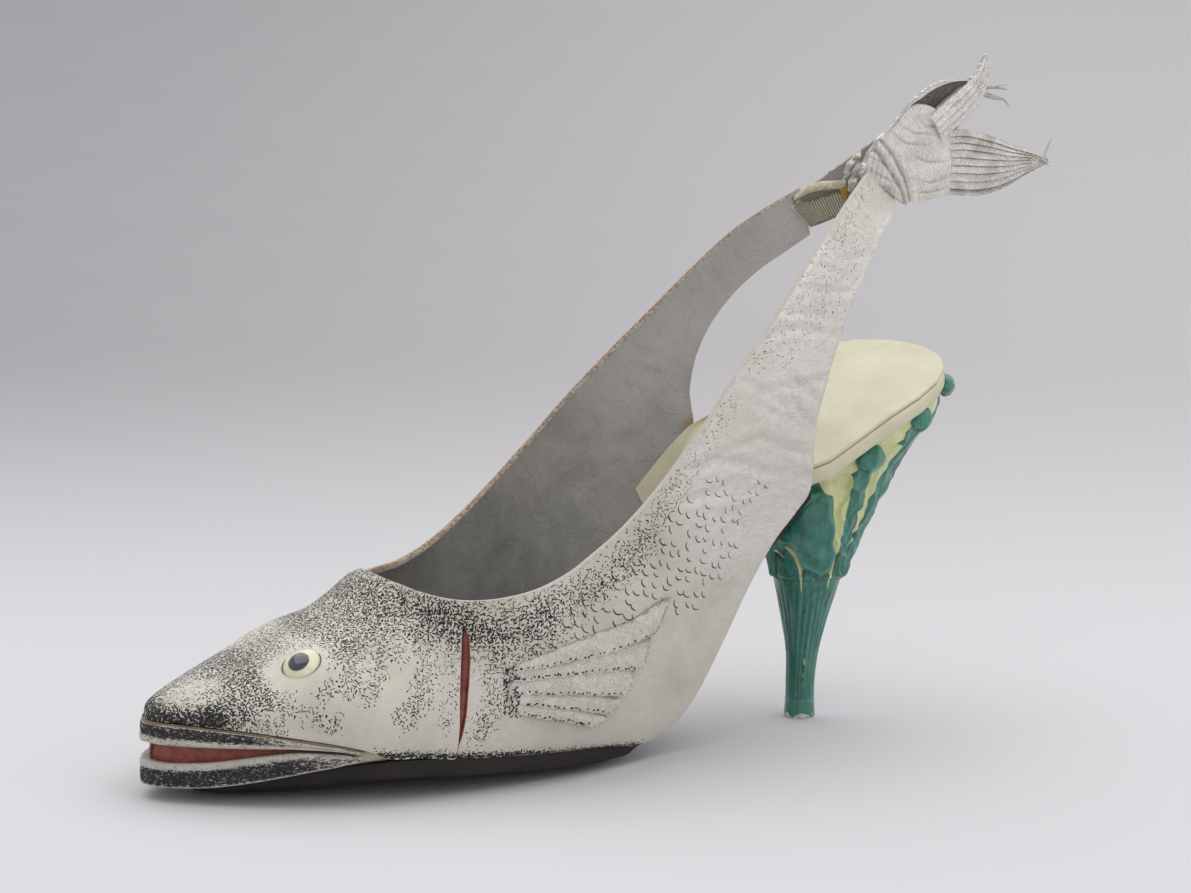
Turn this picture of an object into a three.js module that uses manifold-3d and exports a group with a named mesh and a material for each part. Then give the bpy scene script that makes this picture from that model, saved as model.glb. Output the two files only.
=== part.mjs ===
// Slingback shoe shaped as a fish: a left shoe with a pointed toe and a slim high heel.
// Millimetres. The toe points to -X, +Y is the inner side, +Z is up.
// The origin is the middle of the flat spot under the ball, on the floor.
import * as THREE from 'three';
import { mergeVertices } from 'three/addons/utils/BufferGeometryUtils.js';
import Module from 'manifold-3d';

const wasm = await Module();
wasm.setup();

// Main sizes
const LENGTH = 222;         // tip of the last to the back of the heel seat
const TOE_SET = 72.5;       // tip of the last ahead of the ball
const BALL_WIDTH = 72;      // widest part of the upper
const SEAT_HEIGHT = 88;     // floor to the top of the heel seat
const WALL = 1.8;           // leather and lining of the upper
const GAP = 0.3;            // clearance between pieces that touch

// Sole, insole and sock
const OUTSOLE_THICK = 4.3;
const INSOLE_THICK = 3.0;
const SOCK_THICK = 0.8;
const SOCK_INSET = 1.3;     // sock edge inside the insole edge

// Heel
const TOP_PIECE_HEIGHT = 4.6;
const TIP_RADIUS = 3.9;     // half width of the top piece at the floor
const TIP_TAPER = 0.94;
const FLUTE_DEPTH = 0.28;
const FLUTE_COUNT = 14;
const FROND_RELIEF = 1.5;   // height of the carved fronds
const BUD_RADIUS = 3.1;

// Mouth, eyes, gills and fins
const LIP_PROUD = 1.0;      // lips stand out from the skin
const LIP_DEPTH = 2.6;      // lips reach in behind the skin line
const LINING_THICK = 1.4;
const EYE_RADIUS = 4.9;
const EYE_DOME = 0.9;
const EYE_DEPTH = 1.3;
const PUPIL_RADIUS = 2.5;
const PUPIL_THICK = 0.7;
const GILL_WIDTH = 2.6;
const GILL_DEPTH = 1.0;
const GILL_SHEET = 0.45;
const FIN_THICK = 0.9;
const FIN_STEP = 0.5;       // each ray of a fin overlaps the one below by this step

// Strap end and tail
const TAIL_THICK = 2.0;
const TAIL_PLEAT = 0.45;
const ELASTIC_THICK = 1.3;

const HALF = BALL_WIDTH / 2;

// Resolution of the meshes
const UPPER_STEPS = 9;
const HEEL_SIDES = 36;
const HEEL_LEVELS = 24;
const TIP_SIDES = 24;
const EYE_SIDES = 24;
const GILL_STEPS = 8;
const FIN_STEPS = 7;
const TAIL_STEPS = 10;
const ELASTIC_STEPS = 6;

// Turns rows of shares into rows with named columns
function table(names, rows) {
  const keys = names.split(' ');
  return rows.map((row) => Object.fromEntries(keys.map((key, i) => [key, row[i]])));
}

// Lower edge of the upper, outer side: shares of LENGTH from the tip, of HALF and of SEAT_HEIGHT
const EDGE_OUTER = table('x y z', [
  [0.0045, 0.000, 0.222],
  [0.0130, 0.122, 0.223],
  [0.0293, 0.222, 0.222],
  [0.0563, 0.356, 0.217],
  [0.0923, 0.508, 0.208],
  [0.1329, 0.650, 0.193],
  [0.1734, 0.772, 0.175],
  [0.2050, 0.842, 0.155],
  [0.2297, 0.870, 0.130],
  [0.2635, 0.883, 0.124],
  [0.2995, 0.883, 0.113],
  [0.3401, 0.875, 0.102],
  [0.3896, 0.850, 0.093],
  [0.4437, 0.806, 0.083],
  [0.4976, 0.740, 0.073],
  [0.5480, 0.670, 0.057],
  [0.5882, 0.620, 0.083],
  [0.6216, 0.600, 0.160],
  [0.6556, 0.597, 0.304],
  [0.6887, 0.606, 0.466],
  [0.7176, 0.622, 0.587],
  [0.7417, 0.644, 0.664],
  [0.7570, 0.678, 0.728],
  [0.7566, 0.722, 0.818],
  [0.7580, 0.733, 0.908],
  [0.7675, 0.728, 1.004],
  [0.7865, 0.683, 1.121],
  [0.8145, 0.594, 1.246],
  [0.8515, 0.439, 1.350],
  [0.8810, 0.292, 1.412],
  [0.9088, 0.144, 1.443],
]);

// Lower edge of the upper, inner side
const EDGE_INNER = table('x y z', [
  [0.0045, 0.000, 0.222],
  [0.0135, 0.128, 0.223],
  [0.0302, 0.239, 0.222],
  [0.0577, 0.378, 0.217],
  [0.0937, 0.525, 0.208],
  [0.1342, 0.656, 0.193],
  [0.1748, 0.761, 0.175],
  [0.2063, 0.819, 0.155],
  [0.2311, 0.860, 0.120],
  [0.2635, 0.880, 0.116],
  [0.2995, 0.894, 0.109],
  [0.3401, 0.900, 0.102],
  [0.3851, 0.885, 0.091],
  [0.4347, 0.836, 0.083],
  [0.4797, 0.761, 0.079],
  [0.5158, 0.683, 0.088],
  [0.5473, 0.606, 0.126],
  [0.5788, 0.539, 0.199],
  [0.6104, 0.517, 0.307],
  [0.6396, 0.519, 0.424],
  [0.6689, 0.539, 0.551],
  [0.6937, 0.578, 0.663],
  [0.7185, 0.639, 0.780],
  [0.7245, 0.711, 0.852],
  [0.7272, 0.739, 0.927],
  [0.7372, 0.744, 1.009],
  [0.7534, 0.717, 1.096],
  [0.7742, 0.647, 1.181],
  [0.7988, 0.550, 1.256],
  [0.8218, 0.444, 1.313],
  [0.8450, 0.333, 1.370],
]);

// Ridge of the head up to the throat, shared by both sides
const RIDGE = table('x y z', [
  [0.0045, 0.000, 0.222],
  [0.0144, 0.012, 0.258],
  [0.0279, 0.022, 0.269],
  [0.0541, 0.028, 0.288],
  [0.0901, 0.033, 0.320],
  [0.1306, 0.042, 0.360],
  [0.1712, 0.050, 0.406],
  [0.2050, 0.056, 0.432],
  [0.2320, 0.056, 0.463],
  [0.2554, 0.061, 0.512],
  [0.2734, 0.069, 0.559],
]);

// Collar and the front edge of the strap, outer side
const COLLAR_OUTER = table('x y z', [
  [0.2886, 0.361, 0.544],
  [0.3131, 0.656, 0.533],
  [0.3489, 0.833, 0.536],
  [0.3934, 0.922, 0.556],
  [0.4327, 0.956, 0.595],
  [0.4654, 0.972, 0.648],
  [0.4920, 0.978, 0.696],
  [0.5180, 0.972, 0.750],
  [0.5440, 0.961, 0.812],
  [0.5720, 0.942, 0.884],
  [0.5973, 0.922, 0.950],
  [0.6205, 0.897, 1.018],
  [0.6421, 0.869, 1.083],
  [0.6669, 0.833, 1.147],
  [0.6928, 0.789, 1.211],
  [0.7200, 0.731, 1.282],
  [0.7497, 0.653, 1.356],
  [0.7840, 0.542, 1.430],
  [0.8235, 0.383, 1.500],
  [0.8730, 0.144, 1.554],
]);

// Collar and the front edge of the strap, inner side
const COLLAR_INNER = table('x y z', [
  [0.3068, 0.319, 0.541],
  [0.3441, 0.514, 0.531],
  [0.3835, 0.639, 0.549],
  [0.4190, 0.722, 0.586],
  [0.4513, 0.778, 0.634],
  [0.4815, 0.817, 0.689],
  [0.5108, 0.847, 0.749],
  [0.5405, 0.869, 0.812],
  [0.5696, 0.881, 0.880],
  [0.5995, 0.875, 0.951],
  [0.6296, 0.856, 1.022],
  [0.6585, 0.828, 1.091],
  [0.6837, 0.797, 1.152],
  [0.7060, 0.767, 1.208],
  [0.7277, 0.731, 1.262],
  [0.7486, 0.686, 1.316],
  [0.7695, 0.633, 1.367],
  [0.7906, 0.564, 1.412],
  [0.8120, 0.483, 1.453],
  [0.8356, 0.389, 1.497],
]);

// Fullness of each section: flare and spread are shares of HALF, rise and drop of its rise in z
const FULLNESS = table('flare rise spread drop', [
  [0.00, 0.50, 0.00, 0.00],
  [0.03, 0.62, 0.09, 0.00],
  [0.04, 0.68, 0.17, 0.00],
  [0.05, 0.72, 0.27, 0.00],
  [0.05, 0.75, 0.37, 0.00],
  [0.05, 0.76, 0.46, 0.00],
  [0.06, 0.76, 0.54, 0.00],
  [0.09, 0.72, 0.60, 0.01],
  [0.12, 0.50, 0.63, 0.02],
  [0.12, 0.34, 0.65, 0.03],
  [0.12, 0.22, 0.67, 0.04],
  [0.13, 0.14, 0.44, 0.10],
  [0.14, 0.10, 0.30, 0.18],
  [0.16, 0.09, 0.20, 0.24],
  [0.19, 0.08, 0.13, 0.28],
  [0.21, 0.09, 0.09, 0.30],
  [0.20, 0.12, 0.07, 0.32],
  [0.16, 0.16, 0.06, 0.33],
  [0.13, 0.20, 0.05, 0.33],
  [0.11, 0.24, 0.05, 0.33],
  [0.09, 0.28, 0.04, 0.33],
  [0.07, 0.30, 0.04, 0.33],
  [0.05, 0.32, 0.03, 0.33],
  [0.04, 0.33, 0.03, 0.33],
  [0.03, 0.33, 0.03, 0.33],
  [0.03, 0.33, 0.03, 0.33],
  [0.03, 0.33, 0.02, 0.33],
  [0.03, 0.33, 0.02, 0.33],
  [0.02, 0.33, 0.02, 0.33],
  [0.01, 0.33, 0.01, 0.33],
  [0.00, 0.33, 0.00, 0.33],
]);

const THROAT = RIDGE.length - 1;
const CORNER = 7;            // row of the corners of the mouth
const LAST_ROW = FULLNESS.length - 1;

// Top of the insole at both edges: shares of LENGTH, HALF and SEAT_HEIGHT. dish is how far
// the middle lies below the edges, welt how far the outsole reaches past the insole
const FLOOR = table('x outer outerZ inner innerZ dish welt', [
  [0.0480, 0.060, 0.106, 0.065, 0.106, 0.002, 0.00],
  [0.0580, 0.160, 0.107, 0.170, 0.107, 0.010, 0.00],
  [0.0790, 0.300, 0.110, 0.315, 0.110, 0.022, 0.00],
  [0.1460, 0.530, 0.124, 0.535, 0.124, 0.046, 0.00],
  [0.1900, 0.650, 0.136, 0.650, 0.136, 0.056, 0.00],
  [0.2360, 0.765, 0.152, 0.765, 0.152, 0.066, 0.05],
  [0.3270, 0.800, 0.138, 0.820, 0.140, 0.060, 0.06],
  [0.4170, 0.750, 0.121, 0.775, 0.121, 0.046, 0.06],
  [0.4840, 0.675, 0.108, 0.665, 0.113, 0.030, 0.05],
  [0.5380, 0.585, 0.108, 0.545, 0.148, 0.018, 0.03],
  [0.5830, 0.525, 0.160, 0.475, 0.255, 0.010, 0.00],
  [0.6280, 0.510, 0.278, 0.450, 0.420, 0.006, 0.00],
  [0.6730, 0.520, 0.452, 0.460, 0.600, 0.004, 0.00],
  [0.7180, 0.540, 0.632, 0.520, 0.765, 0.004, 0.00],
  [0.7655, 0.600, 0.776, 0.595, 0.867, 0.006, 0.00],
  [0.7850, 0.660, 0.798, 0.630, 0.898, 0.008, 0.00],
  [0.8130, 0.690, 0.845, 0.660, 0.937, 0.010, 0.00],
  [0.8600, 0.700, 0.915, 0.680, 0.982, 0.012, 0.00],
  [0.8990, 0.660, 0.955, 0.655, 1.006, 0.012, 0.00],
  [0.9310, 0.550, 0.982, 0.560, 1.018, 0.010, 0.00],
  [0.9550, 0.390, 1.000, 0.410, 1.023, 0.006, 0.00],
  [0.9690, 0.210, 1.010, 0.240, 1.023, 0.002, 0.00],
  [0.9770, 0.040, 1.014, 0.050, 1.021, 0.000, 0.00],
]);
const SEAT_END = 0.977;      // share of LENGTH where the seat ends
const BREAST = 0.7655;       // share of LENGTH where the outsole meets the heel
const FLOOR_STEPS = 8;
const SOLE_STEPS = 12;

// Heel sections from the floor up: shares of SEAT_HEIGHT, of LENGTH, and of HALF
const HEEL = table('z x half width', [
  [0.055, 0.8120, 0.104, 0.104],
  [0.110, 0.8120, 0.106, 0.106],
  [0.190, 0.8135, 0.120, 0.118],
  [0.280, 0.8155, 0.161, 0.157],
  [0.350, 0.8172, 0.203, 0.197],
  [0.420, 0.8189, 0.248, 0.238],
  [0.490, 0.8215, 0.296, 0.270],
  [0.570, 0.8256, 0.360, 0.330],
  [0.650, 0.8335, 0.415, 0.392],
  [0.730, 0.8425, 0.462, 0.452],
  [0.810, 0.8562, 0.522, 0.525],
  [0.900, 0.8693, 0.597, 0.590],
  [1.100, 0.8693, 0.597, 0.590],
]);

// Carved fronds on the heel: each runs up the side from one turn and height to another
const FRONDS = table('turn0 z0 turn1 z1 width wave', [
  [0.53, 0.38, 0.66, 0.70, 0.090, 0.018],
  [0.82, 0.38, 0.74, 0.82, 0.050, 0.016],
  [0.87, 0.40, 0.84, 0.88, 0.045, 0.014],
  [0.94, 0.33, 0.92, 0.96, 0.045, 0.012],
  [0.06, 0.33, 0.08, 0.96, 0.045, 0.012],
  [0.13, 0.40, 0.16, 0.88, 0.045, 0.014],
  [0.18, 0.38, 0.26, 0.82, 0.050, 0.016],
  [0.47, 0.38, 0.34, 0.70, 0.090, 0.018],
]);

// Buds at the ends of the fronds: turn round the heel, height, and push outward in mm
const BUDS = table('turn z out', [
  [0.732, 0.785, 0.0],
  [0.816, 0.885, 0.0],
  [0.945, 0.945, 2.4],
  [0.268, 0.785, 0.0],
  [0.184, 0.885, 0.0],
]);

// Mouth: top and bottom of the lips from the corner to the tip, shares of SEAT_HEIGHT
const MOUTH = table('row lipTop lipBottom jawTop jawBottom', [
  [0.0, 0.219, 0.160, 0.112, 0.040],
  [1.0, 0.220, 0.160, 0.112, 0.041],
  [2.0, 0.219, 0.160, 0.114, 0.043],
  [3.0, 0.214, 0.161, 0.122, 0.050],
  [4.0, 0.205, 0.163, 0.140, 0.068],
  [5.0, 0.190, 0.164, 0.156, 0.092],
  [6.0, 0.172, 0.158, 0.152, 0.114],
  [6.7, 0.158, 0.149, 0.145, 0.126],
]);

// Rays of a fin: upper and lower corner of each free end, shares of LENGTH and SEAT_HEIGHT
const RAYS = table('x0 z0 x1 z1', [
  [0.5490, 0.505, 0.5310, 0.428],
  [0.5250, 0.418, 0.5110, 0.340],
  [0.5070, 0.328, 0.4940, 0.264],
  [0.4880, 0.256, 0.4790, 0.216],
  [0.4780, 0.211, 0.4610, 0.178],
]);
const FIN_BASE = table('x z', [
  [0.3560, 0.372],
  [0.3540, 0.238],
]);

// Outlines in the plane of the tail: shares of LENGTH and SEAT_HEIGHT
const TAIL_BASE = table('x z', [
  [0.8920, 1.600],
  [0.9080, 1.668],
  [0.9260, 1.712],
  [0.9420, 1.660],
  [0.9560, 1.590],
  [0.9680, 1.520],
  [0.9600, 1.482],
  [0.9370, 1.478],
  [0.9190, 1.462],
  [0.8980, 1.520],
]);
const TAIL_UPPER = table('x z', [
  [0.9310, 1.716],
  [0.9480, 1.772],
  [0.9680, 1.804],
  [0.9930, 1.806],
  [1.0150, 1.832],
  [1.0310, 1.864],
  [1.0360, 1.800],
  [1.0250, 1.730],
  [1.0060, 1.690],
  [0.9920, 1.660],
  [0.9700, 1.620],
  [0.9590, 1.602],
  [0.9460, 1.664],
]);
const TAIL_LOWER = table('x z', [
  [0.9740, 1.600],
  [1.0000, 1.640],
  [1.0270, 1.664],
  [1.0600, 1.620],
  [1.0900, 1.592],
  [1.1190, 1.586],
  [1.1170, 1.556],
  [1.0850, 1.510],
  [1.0500, 1.476],
  [1.0150, 1.464],
  [0.9830, 1.470],
  [0.9650, 1.480],
  [0.9720, 1.524],
]);
const TAIL_PLEATS = 5;

// Blends the rows of a table at a place that isn't a whole row
function blend(rows, place) {
  const last = rows.length - 1;
  const at = Math.min(Math.max(place, 0), last);
  const low = Math.min(Math.floor(at), last - 1);
  const t = at - low;
  const pick = (i) => rows[Math.min(Math.max(i, 0), last)];
  const out = {};
  for (const key of Object.keys(rows[0])) {
    const [a, b, c, d] = [pick(low - 1)[key], pick(low)[key], pick(low + 1)[key], pick(low + 2)[key]];
    out[key] = 0.5 * (2 * b + (c - a) * t + (2 * a - 5 * b + 4 * c - d) * t * t
      + (3 * b - a - 3 * c + d) * t * t * t);
  }
  return out;
}

// Finds the place in a table where a rising column reaches a value
function placeOf(rows, key, value) {
  let i = 0;
  while (i < rows.length - 2 && rows[i + 1][key] < value) i += 1;
  const span = rows[i + 1][key] - rows[i][key];
  return i + Math.min(Math.max((value - rows[i][key]) / span, 0), 1);
}

const lengthAt = (share) => share * LENGTH - TOE_SET;
const point = (row, side) => new THREE.Vector3(
  lengthAt(row.x), row.y * HALF * side, row.z * SEAT_HEIGHT);

// Upper skin: side is -1 for the outer side and 1 for the inner side
const OUTER = -1;
const INNER = 1;

function edgePoint(side, row) {
  return point(blend(side === OUTER ? EDGE_OUTER : EDGE_INNER, row), side);
}

function topPoint(side, row) {
  const collar = side === OUTER ? COLLAR_OUTER : COLLAR_INNER;
  const throat = { x: RIDGE[THROAT].x, y: RIDGE[THROAT].y * side, z: RIDGE[THROAT].z };
  if (row <= THROAT) return point(blend(RIDGE, row), INNER);
  return point(blend([throat, ...collar], row - THROAT), side);
}

function skinOuter(side, row, t) {
  const low = edgePoint(side, row);
  const top = topPoint(side, row);
  const full = blend(FULLNESS, row);
  const height = top.z - low.z;
  const lean = (top.x - low.x) / 3;
  const a = new THREE.Vector3(
    low.x + lean, low.y + side * full.flare * HALF, low.z + full.rise * height);
  const b = new THREE.Vector3(
    top.x - lean, top.y + side * full.spread * HALF, top.z - full.drop * height);
  return new THREE.CubicBezierCurve3(low, a, b, top).getPoint(t);
}

function skinNormal(side, row, t) {
  const step = 0.02;
  const along = skinOuter(side, Math.min(row + step, LAST_ROW), t)
    .sub(skinOuter(side, Math.max(row - step, 0), t));
  const up = skinOuter(side, row, Math.min(t + step, 1))
    .sub(skinOuter(side, row, Math.max(t - step, 0)));
  return along.cross(up).multiplyScalar(-side).normalize();
}

// Point on the skin, moved inward by a depth
function skin(side, row, t, depth) {
  const at = skinOuter(side, row, t);
  if (row < 0.01) return at.add(new THREE.Vector3(depth, 0, 0));
  const normal = skinNormal(side, row, t);
  if (t > 0.999 && row <= THROAT) {
    normal.add(skinNormal(-side, row, t)).normalize();
  }
  return at.addScaledVector(normal, -depth);
}

// Row and height on the outer skin whose point has the given length and height
function findSkin(side, x, z) {
  let row = 12;
  let t = 0.4;
  for (let i = 0; i < 40; i += 1) {
    const at = skinOuter(side, row, t);
    const dRow = skinOuter(side, row + 0.05, t).sub(at).divideScalar(0.05);
    const dT = skinOuter(side, row, t + 0.01).sub(at).divideScalar(0.01);
    const det = dRow.x * dT.z - dRow.z * dT.x;
    const ex = x - at.x;
    const ez = z - at.z;
    row += Math.min(Math.max((ex * dT.z - ez * dT.x) / det, -2), 2) * 0.7;
    t += Math.min(Math.max((dRow.x * ez - dRow.z * ex) / det, -0.2), 0.2) * 0.7;
    row = Math.min(Math.max(row, 0.5), LAST_ROW - 0.5);
    t = Math.min(Math.max(t, 0.02), 0.98);
  }
  return { row, t };
}

// Six times the volume inside a list of triangles, negative when they face inward
function signedVolume(triangles) {
  let sum = 0;
  for (let i = 0; i < triangles.length; i += 3) {
    sum += triangles[i].dot(triangles[i + 1].clone().cross(triangles[i + 2]));
  }
  return sum;
}

// Closed mesh from a list of triangles given as points, turned to face outward
function closedMesh(list) {
  const triangles = signedVolume(list) < 0 ? [...list].reverse() : list;
  const positions = triangles.flatMap((corner) => [corner.x, corner.y, corner.z]);
  const geometry = new THREE.BufferGeometry();
  geometry.setAttribute('position', new THREE.Float32BufferAttribute(positions, 3));
  const merged = mergeVertices(geometry, 1e-4);
  const index = merged.getIndex().array;
  const kept = [];
  for (let i = 0; i < index.length; i += 3) {
    const [a, b, c] = [index[i], index[i + 1], index[i + 2]];
    if (a !== b && b !== c && a !== c) kept.push(a, b, c);
  }
  merged.setIndex(kept);
  return merged;
}

function quad(list, a, b, c, d) {
  list.push(a, b, c, a, c, d);
}

// Solid between two grids of points that share their size
function slab(front, back) {
  const out = [];
  const rows = front.length - 1;
  const cols = front[0].length - 1;
  const put = (a, b, c, d) => quad(out, a, b, c, d);
  for (let i = 0; i < rows; i += 1) {
    for (let j = 0; j < cols; j += 1) {
      put(front[i][j], front[i + 1][j], front[i + 1][j + 1], front[i][j + 1]);
      put(back[i][j], back[i][j + 1], back[i + 1][j + 1], back[i + 1][j]);
    }
    put(front[i][0], back[i][0], back[i + 1][0], front[i + 1][0]);
    put(front[i + 1][cols], back[i + 1][cols], back[i][cols], front[i][cols]);
  }
  for (let j = 0; j < cols; j += 1) {
    put(front[0][j + 1], back[0][j + 1], back[0][j], front[0][j]);
    put(front[rows][j], back[rows][j], back[rows][j + 1], front[rows][j + 1]);
  }
  return closedMesh(out);
}

function toManifold(geometry) {
  const position = geometry.getAttribute('position').array;
  return new wasm.Manifold(new wasm.Mesh({
    numProp: 3,
    vertProperties: new Float32Array(position),
    triVerts: new Uint32Array(geometry.getIndex().array),
  }));
}

function fromManifold(solid) {
  const mesh = solid.getMesh();
  const geometry = new THREE.BufferGeometry();
  geometry.setAttribute('position', new THREE.BufferAttribute(new Float32Array(mesh.vertProperties), 3));
  geometry.setIndex(new THREE.BufferAttribute(new Uint32Array(mesh.triVerts), 1));
  return geometry;
}

// Upper: one hollow shell, both sides joined along the ridge of the head
function upperShell() {
  const out = [];
  const rows = LAST_ROW;
  const steps = UPPER_STEPS;
  for (const side of [OUTER, INNER]) {
    const put = side === OUTER
      ? (a, b, c, d) => quad(out, a, b, c, d) : (a, b, c, d) => quad(out, d, c, b, a);
    const grid = [0, WALL].map((depth) => Array.from({ length: rows + 1 }, (_, i) => (
      Array.from({ length: steps + 1 }, (__, j) => skin(side, i, j / steps, depth)))));
    const [front, back] = grid;
    for (let i = 0; i < rows; i += 1) {
      for (let j = 0; j < steps; j += 1) {
        put(front[i][j], front[i + 1][j], front[i + 1][j + 1], front[i][j + 1]);
        put(back[i][j], back[i][j + 1], back[i + 1][j + 1], back[i + 1][j]);
      }
      put(front[i][0], back[i][0], back[i + 1][0], front[i + 1][0]);
      if (i >= THROAT) {
        put(front[i + 1][steps], back[i + 1][steps], back[i][steps], front[i][steps]);
      }
    }
    for (let j = 0; j < steps; j += 1) {
      put(front[rows][j], back[rows][j], back[rows][j + 1], front[rows][j + 1]);
    }
  }
  return closedMesh(out);
}

// Gill slit: a lens of the skin between two depths, from its top to its lower end
const GILL_TOP = { x: 0.3243, z: 0.468 };
const GILL_END = { x: 0.3060, z: 0.140 };
function gillPatch(side, shrink, depthOut, depthIn) {
  const steps = GILL_STEPS;
  const layer = (depth) => Array.from({ length: steps + 1 }, (_, i) => {
    const f = THREE.MathUtils.lerp(i / steps, 0.5, 0.03 * shrink);
    const x = lengthAt(THREE.MathUtils.lerp(GILL_TOP.x, GILL_END.x, f));
    const z = THREE.MathUtils.lerp(GILL_TOP.z, GILL_END.z, f) * SEAT_HEIGHT;
    const half = (GILL_WIDTH / 2) * (0.3 + 0.7 * Math.sin(Math.PI * f ** 0.8)) - GAP * shrink;
    return [-1, 1].map((edge) => {
      const found = findSkin(side, x + edge * Math.max(half, 0.08), z);
      return skin(side, found.row, found.t, depth);
    });
  });
  return slab(layer(depthOut), layer(depthIn));
}

// Eye: a shallow dome set in a hole of the skin
const EYE_PLACE = { x: 0.1612, z: 0.372 };
const INNER_EYE_Z = 0.262;
function eyeFrame(side) {
  const height = side === OUTER ? EYE_PLACE.z : INNER_EYE_Z;
  const found = findSkin(side, lengthAt(EYE_PLACE.x), height * SEAT_HEIGHT);
  const at = skin(side, found.row, found.t, 0);
  const normal = skinNormal(side, found.row, found.t);
  const turn = new THREE.Quaternion().setFromUnitVectors(new THREE.Vector3(0, 1, 0), normal);
  return { at, normal, turn };
}

function lathe(profile, sides, frame) {
  const geometry = new THREE.LatheGeometry(profile.map((p) => new THREE.Vector2(p[0], p[1])), sides);
  geometry.applyQuaternion(frame.turn);
  geometry.translate(frame.at.x, frame.at.y, frame.at.z);
  const position = geometry.getAttribute('position');
  const index = [...geometry.getIndex().array];
  return closedMesh(index.map((i) => new THREE.Vector3().fromBufferAttribute(position, i)));
}

const PUPIL_SEAT = EYE_DOME - 0.15;
const eyeSolid = (side) => lathe([
  [0, -EYE_DEPTH],
  [EYE_RADIUS, -EYE_DEPTH],
  [EYE_RADIUS, -EYE_DEPTH * 0.2],
  [EYE_RADIUS * 0.86, EYE_DOME * 0.5],
  [PUPIL_RADIUS + GAP, PUPIL_SEAT],
  [PUPIL_RADIUS + GAP, PUPIL_SEAT - PUPIL_THICK - GAP],
  [0, PUPIL_SEAT - PUPIL_THICK - GAP],
], EYE_SIDES, eyeFrame(side));
const pupilSolid = (side) => lathe([
  [0, PUPIL_SEAT - PUPIL_THICK],
  [PUPIL_RADIUS, PUPIL_SEAT - PUPIL_THICK],
  [PUPIL_RADIUS * 0.94, PUPIL_SEAT + 0.05],
  [PUPIL_RADIUS * 0.5, PUPIL_SEAT + 0.3],
  [0, PUPIL_SEAT + 0.38],
], EYE_SIDES - 4, eyeFrame(side));
const eyeHole = (side) => lathe([
  [0, -WALL * 3],
  [EYE_RADIUS + GAP, -WALL * 3],
  [EYE_RADIUS + GAP, EYE_DOME * 4],
  [0, EYE_DOME * 4],
], EYE_SIDES, eyeFrame(side));

function upperSolid() {
  let solid = toManifold(upperShell());
  for (const side of [OUTER, INNER]) {
    solid = solid.subtract(toManifold(eyeHole(side)));
    solid = solid.subtract(toManifold(gillPatch(side, 0, -1, GILL_DEPTH)));
  }
  return fromManifold(solid);
}

// Path of the mouth round the tip, from the outer corner to the inner corner
function mouthPath() {
  const places = MOUTH.map((row) => row.row);
  const fine = [];
  places.forEach((place, i) => {
    fine.push(place);
    if (i < places.length - 1) fine.push((place + places[i + 1]) / 2);
  });
  const outer = fine.slice(1).reverse().map((row) => ({ side: OUTER, row }));
  const inner = fine.slice(1).map((row) => ({ side: INNER, row }));
  return [...outer, { side: INNER, row: 0 }, ...inner].map(({ side, row }) => ({
    at: edgePoint(side, row),
    heights: blend(MOUTH, placeOf(MOUTH, 'row', row)),
    taper: Math.min(1, (CORNER - row) / 2.5),
  }));
}

function outward(path, i) {
  const a = path[Math.max(i - 1, 0)].at;
  const b = path[Math.min(i + 1, path.length - 1)].at;
  const out = new THREE.Vector3(a.y - b.y, b.x - a.x, 0);
  return out.normalize();
}

// Band swept along the mouth; the section is a list of [outward share, height share]
function mouthBand(topKey, bottomKey, section, shift) {
  const path = mouthPath();
  const rings = path.map(({ at, heights, taper }, i) => {
    const out = outward(path, i);
    const top = heights[topKey] * SEAT_HEIGHT + shift.top;
    const bottom = heights[bottomKey] * SEAT_HEIGHT + shift.bottom;
    return section.map(([across, up]) => {
      const reach = across > 0 ? across * LIP_PROUD * (0.35 + 0.65 * taper)
        : across * LIP_DEPTH * (0.45 + 0.55 * taper);
      return new THREE.Vector3(at.x + out.x * reach, at.y + out.y * reach, bottom + (top - bottom) * up);
    });
  });
  return sweepSolid(rings);
}

function sweepSolid(rings) {
  const out = [];
  const count = rings[0].length;
  for (let i = 0; i < rings.length - 1; i += 1) {
    for (let j = 0; j < count; j += 1) {
      const k = (j + 1) % count;
      quad(out, rings[i][j], rings[i][k], rings[i + 1][k], rings[i + 1][j]);
    }
  }
  const cap = (ring, flip) => {
    for (let j = 1; j < ring.length - 1; j += 1) {
      const corners = [ring[0], ring[j], ring[j + 1]];
      out.push(...(flip ? corners.reverse() : corners));
    }
  };
  cap(rings[0], true);
  cap(rings[rings.length - 1], false);
  return closedMesh(out);
}

const LIP_SECTION = [
  [-1, 0.08],
  [-0.4, 0],
  [0.4, 0.06],
  [1, 0.28],
  [1.15, 0.55],
  [0.9, 0.82],
  [0.3, 0.98],
  [-0.4, 1],
  [-1, 0.94],
];

// Mouth lining: a red band set back behind both lips
function liningSolid() {
  const path = mouthPath();
  const rings = path.map(({ at, heights }, i) => {
    const out = outward(path, i);
    const top = heights.lipTop * SEAT_HEIGHT - 1.2;
    const bottom = heights.jawBottom * SEAT_HEIGHT + 1.2;
    const near = -(LIP_DEPTH + GAP);
    const far = near - LINING_THICK;
    return [[near, bottom], [near, top], [far, top], [far, bottom]].map(([reach, z]) => (
      new THREE.Vector3(at.x + out.x * reach, at.y + out.y * reach, z)));
  });
  return sweepSolid(rings);
}

// Insole board, sock and outsole are slices of one curved floor
function floorRow(share) {
  const place = placeOf(FLOOR, 'x', share);
  const low = Math.min(Math.floor(place), FLOOR.length - 2);
  const mix = (key) => THREE.MathUtils.lerp(FLOOR[low][key], FLOOR[low + 1][key], place - low);
  return Object.fromEntries(Object.keys(FLOOR[0]).map((key) => [key, mix(key)]));
}

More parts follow.
